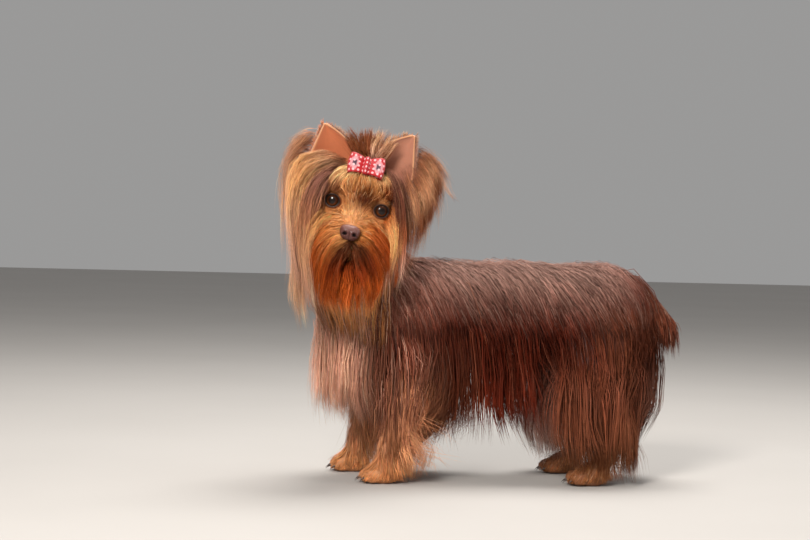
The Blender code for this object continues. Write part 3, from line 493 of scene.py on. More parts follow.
def tufts(name, paths, outs, width, thick, colours, seats, material, point=0.6):
    """One coat piece: a thin three-sided blade along every path, closed at its root and its tip.
    Its colours run evenly from the root to the tip, and it narrows over the last part, the point."""
    stations, count = paths.shape[:2]
    paths = np.maximum(paths, (-1e3, -1e3, 1.2))
    share = np.linspace(0, 1, stations)
    heading = unit(np.gradient(paths, axis=0))
    across = unit(np.cross(heading, outs))
    up = np.cross(across, heading)
    profile = np.minimum(0.5 + share * 3, 1) * np.clip((1 - share) / point, 0, 1) ** 0.75
    half = (0.5 * np.broadcast_to(width, count) * profile[:, None])[..., None]
    rings = np.stack([paths - across * half, paths + across * half, paths + up * half * thick], 2)[:-1]
    points = np.concatenate([rings.transpose(1, 0, 2, 3).reshape(count, -1, 3), paths[-1][:, None]], 1)
    each = points.shape[1]
    quads = [(3 * r + c, 3 * r + (c + 1) % 3, 3 * r + 3 + (c + 1) % 3, 3 * r + 3 + c)
             for r in range(stations - 2) for c in range(3)]
    last = 3 * (stations - 2)
    caps = [(last + c, last + (c + 1) % 3, each - 1) for c in range(3)] + [(0, 2, 1)]
    one = np.array([i for face in quads + caps for i in face])
    sizes = np.array([4] * len(quads) + [3] * len(caps))
    loops = (one[None] + each * np.arange(count)[:, None]).ravel()
    mesh = bpy.data.meshes.new(name)
    mesh.vertices.add(count * each)
    set_places(mesh, points)
    mesh.loops.add(len(loops))
    mesh.loops.foreach_set("vertex_index", loops)
    mesh.polygons.add(count * len(sizes))
    mesh.polygons.foreach_set("loop_start", np.r_[0, np.cumsum(np.tile(sizes, count))[:-1]])
    mesh.update(calc_edges=True)
    blend = np.append(np.repeat(share[:-1], 3), 1.0) * (len(colours) - 1)
    stop = np.minimum(blend.astype(int), len(colours) - 2)
    colours = np.stack(colours, 1)
    colour = colours[:, stop] + (colours[:, stop + 1] - colours[:, stop]) * (blend - stop)[None, :, None]
    add_paint(mesh, colour.reshape(-1, 3), 0.003)
    spot = [(0.001 * (c - 1), 0.003 * (s - 0.5)) for s in share[:-1] for c in range(3)] + [(0, 0.0015)]
    where = (np.clip(seats, 0.002, 0.998)[:, None] + np.array(spot)).reshape(-1, 2)[loops]
    mesh.uv_layers.new(name="OFBake").data.foreach_set("uv", where.ravel())
    mesh.materials.append(material)
    to_frame(mesh)
    piece = new_piece(name, mesh)
    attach(piece, "root")
    return piece


def tinted(colour, rng, spread=0.22, silver=0.12, silver_tone=ASH):
    """Each hair's own colour round the marking under it, with some paler hairs among them."""
    count = len(colour)
    own = colour * np.exp(rng.normal(0, spread, (count, 1))) * (1 + rng.normal(0, 0.05, (count, 3)))
    return toward(own, silver_tone, (rng.random(count) < silver) * rng.uniform(0.3, 1, count))


def lock_shade(own, rng, spread):
    """Each lock of hair a little lighter or darker than its neighbours, as a factor for every hair."""
    return np.exp(rng.normal(0, spread, len(own)))[own][:, None]


def hem_wave(x, y):
    return 5 * np.sin(x / 11 + y / 30) + 4 * np.sin(x / 4.7 + 2)


def over_skin(lie, out, share=0.95):
    """A lie turned along the skin, which leaves only the rest of its slope."""
    return unit(lie - out * (lie * out).sum(1)[:, None] * share)


def body_lie(points, out):
    """The way the body's coat lies: back and out from the parting, then straight down the sides."""
    x, y, z = points.T
    high = ramp(z, 138, 196)
    back = 0.12 + 0.95 * high + 0.35 * ramp(x, 60, 130) * ramp(z, 105, 170) - 0.3 * ramp(-x, 90, 130)
    back -= 0.35 * ramp(x, 138, 158) * ramp(-z, -178, -160)
    aside = np.where(y < 0, -1, 1) * np.clip(np.abs(y) / 14, 0.6, 1)
    return over_skin(np.stack([back, aside * 0.75, -np.ones(len(x))], 1), out)


def on_trunk(points):
    x, y, z = points.T
    off_head = np.linalg.norm(points - on_head(0, -20, 0), axis=1) > 58
    return (z > 93) & off_head & (x > -128 - 0.6 * (z - 150))


def coat_colours(paths, shade, silver, pale):
    """Each hair's colour at its stations: the marking there in its own shade, or paler."""
    tones = [markings_with_painted_light(places) * shade for places in paths]
    return [tone + (tone * 0.7 + np.array(pale) - tone) * silver for tone in tones]


def under_density(points):
    """How dense the under layer is: thicker over the rump, the flanks and behind the elbows."""
    x, y, z = points.T
    return on_trunk(points) * (
        0.2 + ramp(-z, -185, -120) + ramp(-z, -130, -108) + 2.3 * ramp(x, 118, 150) * ramp(-z, -188, -165)
        + 1.4 * ramp(-z, -140, -116) * ramp(-x, -90, -60)
        + 1.6 * ramp(x, -58, -40) * ramp(-x, -30, -5) * ramp(-z, -165, -145)
        + 2.2 * ramp(x, 30, 46) * ramp(-x, -90, -76) * ramp(y, 0, 14) * ramp(-z, -160, -140))


def saddle_layer(name, paths, colours, width, thick, point=0.6):
    """A layer of the saddle, as two coat pieces that meet along the spine."""
    outs = near_body(paths[(len(paths) + 1) // 2])[1]
    for side_name, side in SIDE.items():
        mine = roots[:, 1] * side >= 0
        tufts(f"saddle_{name}_{side_name}", paths[:, mine], outs[mine], rng.uniform(*width, mine.sum()), thick,
              [tone[mine] for tone in colours], seats[mine], saddle_hair, point)


saddle_hair = hair_material("saddle_hair", 0.40)
rng = np.random.default_rng(3)
# the under layer, rooted over the whole side and hanging to the hem
count = 10850
roots, seats = roots_on_skin(count, under_density, 3)
_, out = near_body(roots)
x, y, z = roots.T
over_legs = np.maximum(np.where(y < 0, ramp(x, 60, 78), ramp(x, 36, 46)), 0.9 * ramp(-x, 16, 40)) * ramp(
    np.abs(y), 10, 22)
on_tail = ramp(-mass_depth(roots, tail_mass), -7, -2)
hem = 51 + hem_wave(x, y) + rng.normal(0, 6, count) + 18 * (rng.random(count) < 0.2) - 34 * over_legs
hem += 30 * np.exp(-((x - 51) / 12) ** 2) * (y < 0)
reach = np.clip((z - hem) * 1.35, 40, 160) * rng.uniform(0.75, 1.05, count)
reach *= 1 - 0.8 * on_tail
lift = (1 + 6 * rng.random(count) ** 1.3) * (1 - 0.6 * ramp(x, 120, 150) * ramp(z, 160, 180))
rear = ramp(x, 132, 154)
lift += rng.uniform(0, 3.5, count) * rear * ramp(-z, -172, -155)
paths = comb(roots, body_lie(roots, out), reach, lift, 0.3 + 0.8 * rear, hem, 5, near_body)
paths, own = curled(paths, near_body, (16, 0.34), (1.5, 52.0), (4, 5))
shade = lock_shade(own, rng, 0.22) * np.exp(rng.normal(0, 0.14, (count, 1)))
silver = (rng.random((count, 1)) < 0.12) * rng.uniform(0.2, 0.8, (count, 1))
colours = coat_colours(paths, shade, silver, (0.19, 0.065, 0.036))
gold_tip = 0.8 * over_legs * rng.random(count) ** 0.5
for k, share in enumerate(np.linspace(0, 1, 5)):
    x, y, z = paths[k].T
    colours[k] = colours[k] * (1 + 1.1 * share * (ramp(-z, -105, -75) * (1 - over_legs))[:, None])
    if k > 1:
        colours[k] = toward(colours[k], (0.30, 0.105, 0.048), gold_tip * (k - 1) / 3)
        # the far hind leg's pale hair, painted brighter than its own pale colour as painted light against the
        # shade it hangs in
        pale = 0.9 * ramp(y, 0, 12) * ramp(x, 38, 48) * ramp(-x, -90, -80) * ramp(-z, -112, -94)
        colours[k] = toward(colours[k], np.array([0.95, 0.62, 0.54]) * shade, pale)
saddle_layer("under", paths, colours, (0.55, 1.2), 0.45, 0.35)

# the outer layer, finer and shorter, from the parting to the middle of the side
count = 12400
roots, seats = roots_on_skin(count, lambda p: on_trunk(p) * ramp(p[:, 2], 150, 178), 6)
_, out = near_body(roots)
x, y, z = roots.T
hem = 141 + hem_wave(x, y) + rng.normal(0, 7, count) - 16 * ramp(x, 110, 150)
high = ramp(z, 180, 204) * ramp(x, -115, -70) * ramp(-x, -150, -100)
paths = comb(roots, body_lie(roots, out), rng.uniform(34, 68, count) * (1 - 0.4 * ramp(x, 150, 164)),
             (3 + 3.5 * rng.random(count) + 2 * high) * (1 - 0.7 * ramp(x, 118, 150)), 0.16, hem, 4, near_body,
             rise=16.0)
paths, own = curled(paths, near_body, (18, 0.32), (0.6, 60.0), (7, 8))
shade = lock_shade(own, rng, 0.24) * np.exp(rng.normal(0, 0.18, (count, 1)))
# pale hairs among the dark, more of them towards the top of the back, where they add to its painted highlight
silver = (rng.random((count, 1)) < 0.36) * rng.uniform(0.2, 0.9, (count, 1)) * ramp(z, 158, 186)[:, None]
saddle_layer("outer", paths, coat_colours(paths, shade, silver, (0.27, 0.17, 0.135)), (0.36, 0.75), 0.5)

# ================================================================ bib and mane
# The hair of the neck and the chest: a pale bib that falls from the throat before the forelegs, and
# the mane that falls from the nape over the shoulders and runs into the saddle.
def on_face(points):
    """Whether places on the skin belong to the head rather than to the neck."""
    head = np.min([mass_depth(points, mass) for mass in head_masses], axis=0)
    return head < np.min([mass_depth(points, mass) for mass in trunk_masses], axis=0) + 2


def on_front(points):
    return ~on_trunk(points) & (points[:, 2] > 104) & (points[:, 0] < -60) & ~on_face(points)


def groomed(name, paths, near, clump, curl, seeds, colour, spread, tip, tip_tint, width, seats, material,
            slim=1.0):
    """One coat piece of combed hairs, gathered into locks and waved, each lock a little lighter or darker,
    with lighter tips. None reaches under the ground."""
    paths, own = curled(paths, near, clump, curl, seeds)
    paths[..., 2] = np.maximum(paths[..., 2], LOWEST_HAIR)
    root_colour = colour * lock_shade(own, rng, spread)
    tip_colour = root_colour * tip + np.array(tip_tint) * rng.random((len(colour), 1))
    outs = near(paths[(len(paths) + 1) // 2])[1]
    return tufts(name, paths, outs, rng.uniform(*width, len(colour)) * slim, 0.5, [root_colour, tip_colour],
                 seats, material)


LOWEST_HAIR = 0.9
front_hair = hair_material("bib_hair", 0.46)
count = 5500
roots, seats = roots_on_skin(count, lambda p: on_front(p) * (0.4 + 0.6 * ramp(-p[:, 1], -20, 30)), 12)
x, y, z = roots.T
hem = 62 + hem_wave(x * 1.3, y) + rng.normal(0, 9, count)
lie = np.stack([-0.04 + 0.12 * ramp(-z, -170, -120) + 0.3 * ramp(x, -125, -95), np.clip(y / 20, -1, 1) * 0.5,
                -np.ones(count)], 1)
paths = comb(roots, over_skin(lie, near_body(roots)[1]), rng.uniform(60, 120, count), 1 + 7 * rng.random(count),
             1.0, hem, 5, near_body)
groomed("bib_and_mane", paths, near_body, (16, 0.45), (1.7, 48.0), (13, 14),
        tinted(markings_with_painted_light(roots), rng, 0.14, 0.25, (0.66, 0.42, 0.30)), 0.18, 1.1, (0.12, 0.045, 0.01),
        (0.45, 0.9), seats, front_hair)

# ================================================================ legs
# The legs' own coat: short on the shins and toes, with a long golden feather behind each foreleg and
# down each hind leg, brushed back and out so that the legs look like columns.
leg_hair = hair_material("leg_hair", 0.48)
LEG_STEP = 2.6
near_fore = skin_reader((-172, -66, -6), (-60, 66, 130), LEG_STEP)
near_hind = skin_reader((50, -70, -6), (160, 70, 130), LEG_STEP)


def leg_density(points, end):
    """How dense a pair of legs' hair is: thicker on the toes and in the feather behind the forelegs."""
    x, _, z = points.T
    feather = 1.7 * ramp(x, -98, -88) * ramp(-z, -64, -50) * (x < 0)
    return (z < 112) * (z > 3) * ((x < 0) if end == "fore" else (x > 40)) * (
        0.7 + 0.8 * ramp(-z, -34, -20) + feather)


for end, near, seed, count, full in (("fore", near_fore, 20, 5200, 1.0), ("hind", near_hind, 24, 4600, 0.75)):
    roots, seats = roots_on_skin(count, lambda p: leg_density(p, end), seed)
    _, out = near(roots)
    x, y, z = roots.T
    behind = np.clip(out[:, 0], 0, 1) * (ramp(-z, -92, -70) if end == "fore" else ramp(-z, -66, -44))
    paw = ramp(-z, -26, -15)
    lie = np.stack([0.12 + (1.4 * full - 0.6) * behind - 0.75 * paw * (1 - behind), 0.25 * out[:, 1],
                    -np.ones(count)], 1)
    reach = (28 + 36 * behind * full + 14 * ramp(z, 40, 90)) * (1 - 0.66 * paw) * rng.uniform(0.6, 1.15, count)
    lift = (1 + 4 * rng.random(count)) * (1 - 0.75 * paw)
    lift = lift + behind * full * (1 - paw) * rng.uniform(4, 30, count)
    paths = comb(roots, over_skin(lie, out, (0.8 - 0.55 * behind)[:, None]), reach, lift,
                 0.35 - 0.2 * paw - 0.22 * behind * full, 2.0 + 2 * rng.random(count), 4, near, 2.0, 28.0)
    groomed(f"{end}leg_feather", paths, near, (20, 0.5), (0.7, 34.0), (seed + 1, seed + 2),
            tinted(markings_with_painted_light(roots), rng, 0.13, 0.2 * full, (0.62 * full, 0.34 * full, 0.18 * full)), 0.16,
            1.15, (0.10, 0.045, 0.015), (0.45, 0.85), seats, leg_hair, 1 - 0.3 * paw)

# the brown hair of each shoulder, which falls over the top of the foreleg and hides its gold
SHOULDER_BROWN = 0.5 * np.array([0.215, 0.082, 0.054])
count = 1080
roots, seats = roots_on_skin(count, lambda p: (p[:, 2] > 88) * (p[:, 2] < 146) * (p[:, 0] > -128) * (
    p[:, 0] < -48) * (np.abs(p[:, 1]) > 14), 28)
_, out = near_body(roots)
lie = np.stack([0.06 + 0.5 * rng.random(count) * ramp(roots[:, 0], -110, -70), 0.1 * out[:, 1],
                -np.ones(count)], 1)
hem = 50 - 26 * ramp(roots[:, 0], -106, -66) + rng.normal(0, 9, count)
paths = comb(roots, over_skin(lie, out, 0.9), rng.uniform(60, 110, count), 4 + 10 * rng.random(count),
             0.7, hem, 5, near_body)
groomed("shoulder_fall", paths, near_body, (16, 0.4), (1.5, 44.0), (29, 34),
        0.5 * tinted(markings_with_painted_light(roots), rng, 0.14, 0.25, (0.45, 0.25, 0.18)) + SHOULDER_BROWN, 0.2, 0.85,
        (0.16, 0.06, 0.025), (0.5, 0.95), seats, front_hair)

# ================================================================ tail
# The docked tail is hidden in a dark plume of the saddle's own hair, rooted all along it, which lies
# back over it and falls in a soft point.
count = 1200
roots, seats = roots_on_skin(count, lambda p: ramp(-mass_depth(p, tail_mass), -5, -1), 30)
_, out = near_body(roots)
lie = unit(np.array([0.55, 0, -0.8]) + out * 0.05)
paths = comb(roots, lie, rng.uniform(18, 40, count), 0.5 + 3 * rng.random(count), 0.7, 116.0, 5, near_body, 2.0)
paths, _ = curled(paths, near_body, (18, 0.45), (0.4, 40.0), (31, 32))
root_colour = tinted(np.tile((0.105, 0.033, 0.020), (count, 1)), rng, 0.2, 0.1)
tufts("tail_plume", paths, near_body(paths[3])[1], rng.uniform(0.4, 0.8, count), 0.5,
      [root_colour, root_colour * 1.6], seats, saddle_hair)

# ================================================================ eyes
# Two glass eyes, life size and set deep: brown irises with a paler lower ring, under a clear cornea.
# Lids of painted vinyl are rolled over each, with dark rims and a fold above.
EYE_RADIUS, EYE_DEPTH, EYE_OUTWARD = 8.3, -5.5, math.radians(9)
EYE_ACROSS = {"left": -24.0, "right": 21.5}
LID_HALF, LID_UP, LID_DOWN = 6.2, 5.3, 5.4
HEAD_STEP = 2.2
near_head = skin_reader(on_head(0, 0, 0) - (80, 60, 90), on_head(0, 0, 0) + (80, 85, 90), HEAD_STEP)


def face_grid(rows, columns, wrapped):
    """The faces of a sheet of points in rows, closed round its columns where it is wrapped."""
    last = columns if wrapped else columns - 1
    return [(r * columns + c, r * columns + (c + 1) % columns, (r + 1) * columns + (c + 1) % columns,
             (r + 1) * columns + c) for r in range(rows - 1) for c in range(last)]


def globe(rows, columns, margin):
    """Angles over a ball, from its front to its back and round it, and their places on its unwrap."""
    polar = np.linspace(margin, math.pi - margin, rows)[:, None]
    turn = np.linspace(0, 2 * math.pi, columns, endpoint=False)[None]
    spots = np.stack(np.broadcast_arrays(turn / (2 * math.pi) * 0.98 + 0.01, polar / math.pi * 0.98 + 0.01), -1)
    return polar, turn, spots.reshape(-1, 2)


def add_unwrap(mesh, name, spots):
    """An unwrap of a mesh, from a spot for each point."""
    loops = np.empty(len(mesh.loops), int)
    mesh.loops.foreach_get("vertex_index", loops)
    mesh.uv_layers.new(name=name).data.foreach_set("uv", np.asarray(spots, float)[loops].ravel())


def sheet_mesh(name, points, faces, colours, spots, material):
    """A smooth piece from points in the dog's own millimetres, with its paint and its unwrap."""
    mesh = bpy.data.meshes.new(name)
    mesh.from_pydata(np.asarray(points).tolist(), [], faces)
    add_paint(mesh, colours)
    add_unwrap(mesh, "OFBake", spots)
    mesh.materials.append(material)
    to_frame(mesh)
    return new_piece(name, mesh)


eye_glass, tree, shader = node_material("eye_glass", 0.3, Coat_Weight=1.0, Coat_Roughness=0.02, Coat_IOR=1.27,
                                        Specular_IOR_Level=0.1)
mottled(tree, shader, 1500.0, 0.30)
lid_paint, tree, shader = node_material("painted_lid", 0.5, Specular_IOR_Level=0.2)
mottled(tree, shader, 900.0, 0.15)
bump(tree, shader, noise(tree, 1600.0, 2.0), 0.35, 0.0002)
BROWN_IRIS, IRIS_RING = (0.030, 0.008, 0.003), (0.10, 0.029, 0.008)
LIMBUS, EYE_WHITE = (0.008, 0.004, 0.003), (0.16, 0.09, 0.06)
for name, side in SIDE.items():
    centre = on_head(EYE_ACROSS[name], EYE_DEPTH, 0)
    aim = unit(HEAD @ np.array([side * math.sin(EYE_OUTWARD), math.cos(EYE_OUTWARD), -0.03]))
    eye_up = unit(HEAD[:, 2] - aim * (HEAD[:, 2] @ aim))
    eye_right = np.cross(aim, eye_up)
    rows, columns = 56, 64
    polar, turn, spots = globe(rows, columns, 0.001)
    bulge = EYE_RADIUS + 0.55 * ramp(-polar, -0.75, -0.45)
    ring = (np.sin(polar) * np.cos(turn))[..., None] * eye_right
    ring = ring + (np.sin(polar) * np.sin(turn))[..., None] * eye_up
    ball = centre + bulge[..., None] * (ring + (np.cos(polar) * np.ones_like(turn))[..., None] * aim)
    lower_arc = 0.15 + 0.85 * ramp(-np.sin(turn), -0.1, 0.8)
    tone = np.tile(EYE_WHITE, (rows, columns, 1))
    for colour, share in ((LIMBUS, ramp(-polar, -0.86, -0.78)), (BROWN_IRIS, ramp(-polar, -0.76, -0.66)),
                          (IRIS_RING, ramp(-polar, -0.68, -0.56) * ramp(polar, 0.32, 0.48) * lower_arc),
                          (LIMBUS, ramp(-polar, -0.38, -0.33))):
        tone = toward(tone, colour, share * np.ones_like(turn))
    eye = sheet_mesh(f"glass_eye_{name}", ball.reshape(-1, 3), face_grid(rows, columns, True),
                     tone.reshape(-1, 3), spots, eye_glass)
    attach(eye, "root")
    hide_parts(f"eye_{name}")

    # the lids, from the wet edge on the glass out to the skin
    turn = turn[0]
    high = np.where(np.sin(turn) > 0, LID_UP, LID_DOWN)
    almond = np.stack([LID_HALF * np.sign(np.cos(turn)) * np.abs(np.cos(turn)) ** 0.92,
                       high * np.sign(np.sin(turn)) * np.abs(np.sin(turn)) ** 1.12], 1)
    rings, tones = [], []
    gold = np.array(GOLD) * 0.62
    for swell, height, tone in (
            (0.97, 0.10, LIMBUS), (1.0, 0.75, LIMBUS), (1.05, 1.15, (0.030, 0.013, 0.009)),
            (1.12, 1.2, (0.12, 0.045, 0.024)), (1.22, 0.85, gold * 0.5), (1.34, 1.1, gold * 0.8)):
        flat = almond * swell
        deep = np.sqrt(np.maximum(EYE_RADIUS**2 - (flat**2).sum(1), 4.0))
        way = unit(flat[:, :1] * eye_right + flat[:, 1:] * eye_up + deep[:, None] * aim)
        rings.append(centre + way * (EYE_RADIUS + height))
        tones.append(np.tile(tone, (len(turn), 1)))
    for swell, height in ((1.7, 0.5), (2.1, 0.0), (2.6, -1.2)):
        flat = almond * swell
        spot = centre + flat[:, :1] * eye_right + flat[:, 1:] * eye_up + 5.5 * aim
        for _ in range(4):
            spot = spot - skin_out(spot) * skin_depth(spot)[:, None]
        rings.append(spot + skin_out(spot) * height)
        tones.append(np.tile(gold, (len(turn), 1)))
    lower = ramp(-np.sin(turn), 0.0, 0.7)
    for row, tone, share in ((1, (0.03, 0.011, 0.007), 0.6), (2, (0.10, 0.040, 0.025), 0.7),
                             (3, (0.40, 0.20, 0.12), 0.6)):
        tones[row] = toward(tones[row], tone, share * lower)
    rows = len(rings)
    spots = [[c / columns * 0.98 + 0.01, r / rows * 0.98 + 0.01] for r in range(rows) for c in range(columns)]
    lids = sheet_mesh(f"lids_{name}", np.concatenate(rings), face_grid(rows, columns, True),
                      np.concatenate(tones), spots, lid_paint)
    lids.modifiers.new("rounder", "SUBSURF").render_levels = 1
    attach(lids, "root")

# ================================================================ nose
# The leather of the nose, a liver-brown pad wider above than below, with open comma-shaped nostrils
# and a fine groove down its middle, pebbled all over and a little moist.
NOSE_AT, NOSE_RADII = np.array([0.0, 31.0, -26.0]), np.array([9.4, 7.0, 7.4])
rows, columns = 90, 120
polar, turn, spots = globe(rows, columns, 0.002)
way = np.stack(np.broadcast_arrays(np.sin(polar) * np.cos(turn), np.cos(polar),
                                   np.sin(polar) * np.sin(turn)), -1)
way /= (np.abs(way) ** 2.5).sum(-1, keepdims=True) ** (1 / 2.5)
pad = way * NOSE_RADII
pad[..., 0] *= 1 + 0.016 * pad[..., 2] - 0.006 * np.maximum(-pad[..., 2] - 3, 0) ** 2 * 0.3
front = ramp(pad[..., 1], 0, 4)
dip, rim = np.zeros((2, rows, columns))
for side in SIDE.values():
    a, u = pad[..., 0] * side, pad[..., 2]
    hole = np.exp(-((a - 4.3) / 1.5) ** 2 - ((u + 1.4) / 1.25) ** 2)
    slit = np.exp(-((a - 7.3) / 2.0) ** 2 - ((u + 2.5 + 0.2 * (a - 7)) / 0.75) ** 2)
    dip += 3.6 * hole + 1.5 * slit
    rim += 0.75 * np.exp(-((np.hypot((a - 4.6) / 1.2, u + 1.0) - 2.6) / 1.0) ** 2)
dip += 0.75 * np.exp(-(pad[..., 0] / 0.45) ** 2) * ramp(-pad[..., 2], -1.5, 1)
pad[..., 1] += (np.minimum(rim, 0.8) - dip) * front
tone = np.tile((0.095, 0.027, 0.021), (rows, columns, 1))
# the top of the pad painted lighter and pinker, as a painted highlight
tone = toward(tone, (0.20, 0.075, 0.055), 0.7 * ramp(pad[..., 2], 1, 6))
# the nostrils and the groove painted near black, as painted shade in their hollows
tone = toward(tone, (0.008, 0.004, 0.004), np.clip(dip / 2.0 * front, 0, 1))
nose_leather, tree, shader = node_material("nose_leather", 0.34, Coat_Weight=0.35, Coat_Roughness=0.16,
                                           Specular_IOR_Level=0.35)
mottled(tree, shader, 800.0, 0.2)
bump(tree, shader, noise(tree, 1500.0, kind="TexVoronoi"), 0.55, 0.0004)
nose = sheet_mesh("nose_pad", on_head(*NOSE_AT) + pad.reshape(-1, 3) @ HEAD.T, face_grid(rows, columns, True),
                  tone.reshape(-1, 3), spots, nose_leather)
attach(nose, "root")
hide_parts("nose")

# ================================================================ claws
# Four horn-coloured claws to each paw, curved and blunt, cast in resin and set in the tips of the
# toes, where the short hair of the feet half hides them.
CLAW_RADIUS = 1.35
horn, tree, shader = node_material("horn", 0.35, Specular_IOR_Level=0.5)
mottled(tree, shader, 500.0, 0.3)
points, faces, spots = [], [], []
rows, columns = 6, 8
for paws, track in ((FORE_PAW_X, FORE_TRACK), (HIND_PAW_X, HIND_TRACK)):
    for name, paw_x in paws.items():
        for toe in TOES:
            root = np.array([*toe_place(paw_x, SIDE[name] * track, toe), 6.4]) - (6.6, 0, 0)
            first = len(points)
            for share in np.linspace(0, 1, rows):
                middle = root + (-6.0 * share, 0.5 * toe * share, -0.4 * share - 3.6 * share**2)
                radius = CLAW_RADIUS * (1 - 0.82 * share**1.5)
                for column in range(columns):
                    angle = column / columns * 2 * math.pi
                    points.append(middle + radius * np.array(
                        [0.3 * math.cos(angle), 0.8 * math.sin(angle), math.cos(angle)]))
                    spots.append((0.01 + 0.98 * column / columns, 0.01 + 0.98 * share))
            faces += [tuple(first + i for i in face) for face in face_grid(rows, columns, True)]
            faces += [tuple(len(points) - columns + i for i in range(columns)),
                      tuple(first + i for i in reversed(range(columns)))]
claws = sheet_mesh("claws", points, faces, np.tile((0.055, 0.035, 0.028), (len(points), 1)), spots, horn)
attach(claws, "root")

# ================================================================ ears
# Two pricked ears, thin cupped leaves of flocked vinyl set in the head: warm orange inside, darker
# towards the root, with a pale soft rim. Short hairs edge them, and long ones hang from their edge.
EAR_BASE = np.array([24.0, -25.0, 20.0])
EAR_TIP = {"left": (40.0, -21.0, 77.0), "right": (45.0, -21.0, 70.0)}
EAR_INNER, EAR_OUTER = 20.5, {"left": 25.0, "right": 31.0}
EAR_CUP, EAR_THICK = 9.0, 1.8
ear_flock, tree, shader = node_material("ear_flock", 0.7, Sheen_Weight=0.35, Sheen_Roughness=0.5,
                                        Subsurface_Weight=0.12, Subsurface_Radius=(0.004, 0.0015, 0.001))
mottled(tree, shader, 1200.0, 0.18)
bump(tree, shader, noise(tree, 2200.0, 2.0), 0.4, 0.0003)
ear_rows, ear_columns = 33, 25
ear_sheets = {}
for name, side in SIDE.items():
    share = np.linspace(0, 1, ear_rows)[:, None] * 0.995
    u = np.linspace(-1, 1, ear_columns)[None]
    half = np.where(u > 0, EAR_OUTER[name] * (1 - share**1.7), EAR_INNER * (1 - share**5.5))
    half = half * np.minimum(1, 0.6 + 1.4 * share) + 0.8
    cup = EAR_CUP * (1 - u * u) * (1 - share) ** 0.5
    middle = EAR_BASE + (EAR_TIP[name] - EAR_BASE) * np.stack([share**2, share, share], -1)
    offset = np.stack(np.broadcast_arrays(u * half, -cup + 4 * u * (1 - share), 0 * u * share), -1)
    leaf = (middle + offset) * (side, 1, 1)
    rim = ramp(np.abs(u) + 0 * share, 0.90, 1.0) + ramp(share + 0 * u, 0.95, 1.0)
    tone = np.tile((0.47, 0.130, 0.045) if side > 0 else (0.38, 0.150, 0.088), (ear_rows, ear_columns, 1))
    tone = toward(tone, (0.20, 0.045, 0.018), 0.85 * ramp(-share + 0 * u, -0.5, -0.05))
    tone = toward(tone, (0.56, 0.26, 0.12), np.clip(rim, 0, 1))
    spots = np.stack(np.broadcast_arrays(u * 0.48 + 0.5, share * 0.96 + 0.02), -1)
    faces = face_grid(ear_rows, ear_columns, False)
    if side < 0:
        faces = [face[::-1] for face in faces]
    ear = sheet_mesh(f"ear_leaf_{name}", (EYE_MIDDLE + leaf @ HEAD.T).reshape(-1, 3), faces,
                     tone.reshape(-1, 3), spots.reshape(-1, 2), ear_flock)
    shell = ear.modifiers.new("thickness", "SOLIDIFY")
    shell.thickness, shell.offset = EAR_THICK * MM, 0
    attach(ear, "root")
    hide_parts(f"ear_{name}")
    ear_sheets[name] = (EYE_MIDDLE + leaf @ HEAD.T, tone, spots)

# ================================================================ hair bow
# A ribbon bow pinned at the foot of the topknot: one red ribbon folded into two upright loops under a
# wrapped knot, printed with a plain pattern of small pale dots, darker down the middle of each loop.
BOW_AT, BOW_TURN = np.array([-1.9, 2.2, 38.0]), Matrix.Rotation(math.radians(22), 3, "X")
BOW_REACH, BOW_HALF, BOW_WAIST, BOW_DEPTH = 17.5, 10.5, 7.0, 5.0
RIBBON_RED, PRINT_PALE, PRINT_DARK = (0.42, 0.004, 0.010), (0.58, 0.24, 0.26), (0.05, 0.012, 0.03)
ribbon, tree, shader = node_material("dotted_ribbon", 0.42, Sheen_Weight=0.1, Specular_IOR_Level=0.4)
paint, where = node(tree, "VertexColor"), node(tree, "UVMap")
paint.layer_name, where.uv_map = "coat", "print"
cell, spot, dots = node(tree, "VectorMath"), node(tree, "VectorMath"), node(tree, "Mix")
cell.operation, spot.operation, dots.data_type = "FRACTION", "DISTANCE", "RGBA"
feed(tree, cell, Vector=where.outputs["UV"])
spot.inputs[1].default_value = (0.5, 0.5, 0.0)
feed(tree, spot, Vector=cell.outputs["Vector"])
dot = node(tree, "MapRange", Value=spot.outputs["Value"], From_Min=0.28, From_Max=0.20)
feed(tree, dots, Factor=dot.outputs["Result"], A=paint.outputs["Color"], B=(0.72, 0.40, 0.42, 1))
feed(tree, shader, Base_Color=dots.outputs["Result"])
bump(tree, shader, noise(tree, 900.0, kind="TexWave"), 0.3, 0.0002)


def bow_piece(name, points, faces, tones, prints):
    points = on_head(*BOW_AT) + np.asarray(points) @ np.array(BOW_TURN).T @ HEAD.T
    piece = sheet_mesh(name, points, faces, tones, np.asarray(prints) * 0.02 + 0.2, ribbon)
    add_unwrap(piece.data, "print", prints)
    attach(piece, "root")
    return piece


points, faces, tones, prints = [], [], [], []
around, over = 44, 11
for side in (-1, 1):
    first = len(points)
    for i in range(around + 1):
        turn = math.radians(30 + 300 * i / around)
        reach = BOW_REACH * (0.5 - 0.5 * math.cos(turn))
        far = reach / BOW_REACH
        depth = -BOW_DEPTH * math.sin(turn) * far**0.6
        half = BOW_WAIST + (BOW_HALF - BOW_WAIST) * far**0.8
        for j in range(over):
            v = 2 * j / (over - 1) - 1
            crease = 0.9 * math.cos(v * 9.0) * (1 - far) + 0.35 * math.cos(v * 5 + side) * far
            points.append((side * (reach - 1.5 * v * v * far), depth + crease, v * half))
            bloom = 1 - math.hypot(v / 0.75, (far - 0.66) / 0.27)
            tones.append(PRINT_DARK if bloom > 0.55 else PRINT_PALE if bloom > 0.12 else RIBBON_RED)
            prints.append((i / around * 9.0, j / (over - 1) * 4.0))
    faces += [tuple(first + i for i in face) for face in face_grid(around + 1, over, False)]
bow = bow_piece("ribbon_loops", points, faces, tones, prints)
shell = bow.modifiers.new("thickness", "SOLIDIFY")
shell.thickness, shell.offset = 0.5 * MM, 0
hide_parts("bow")
points, faces, tones, prints = [], [], [], []
rows, columns = 17, 32
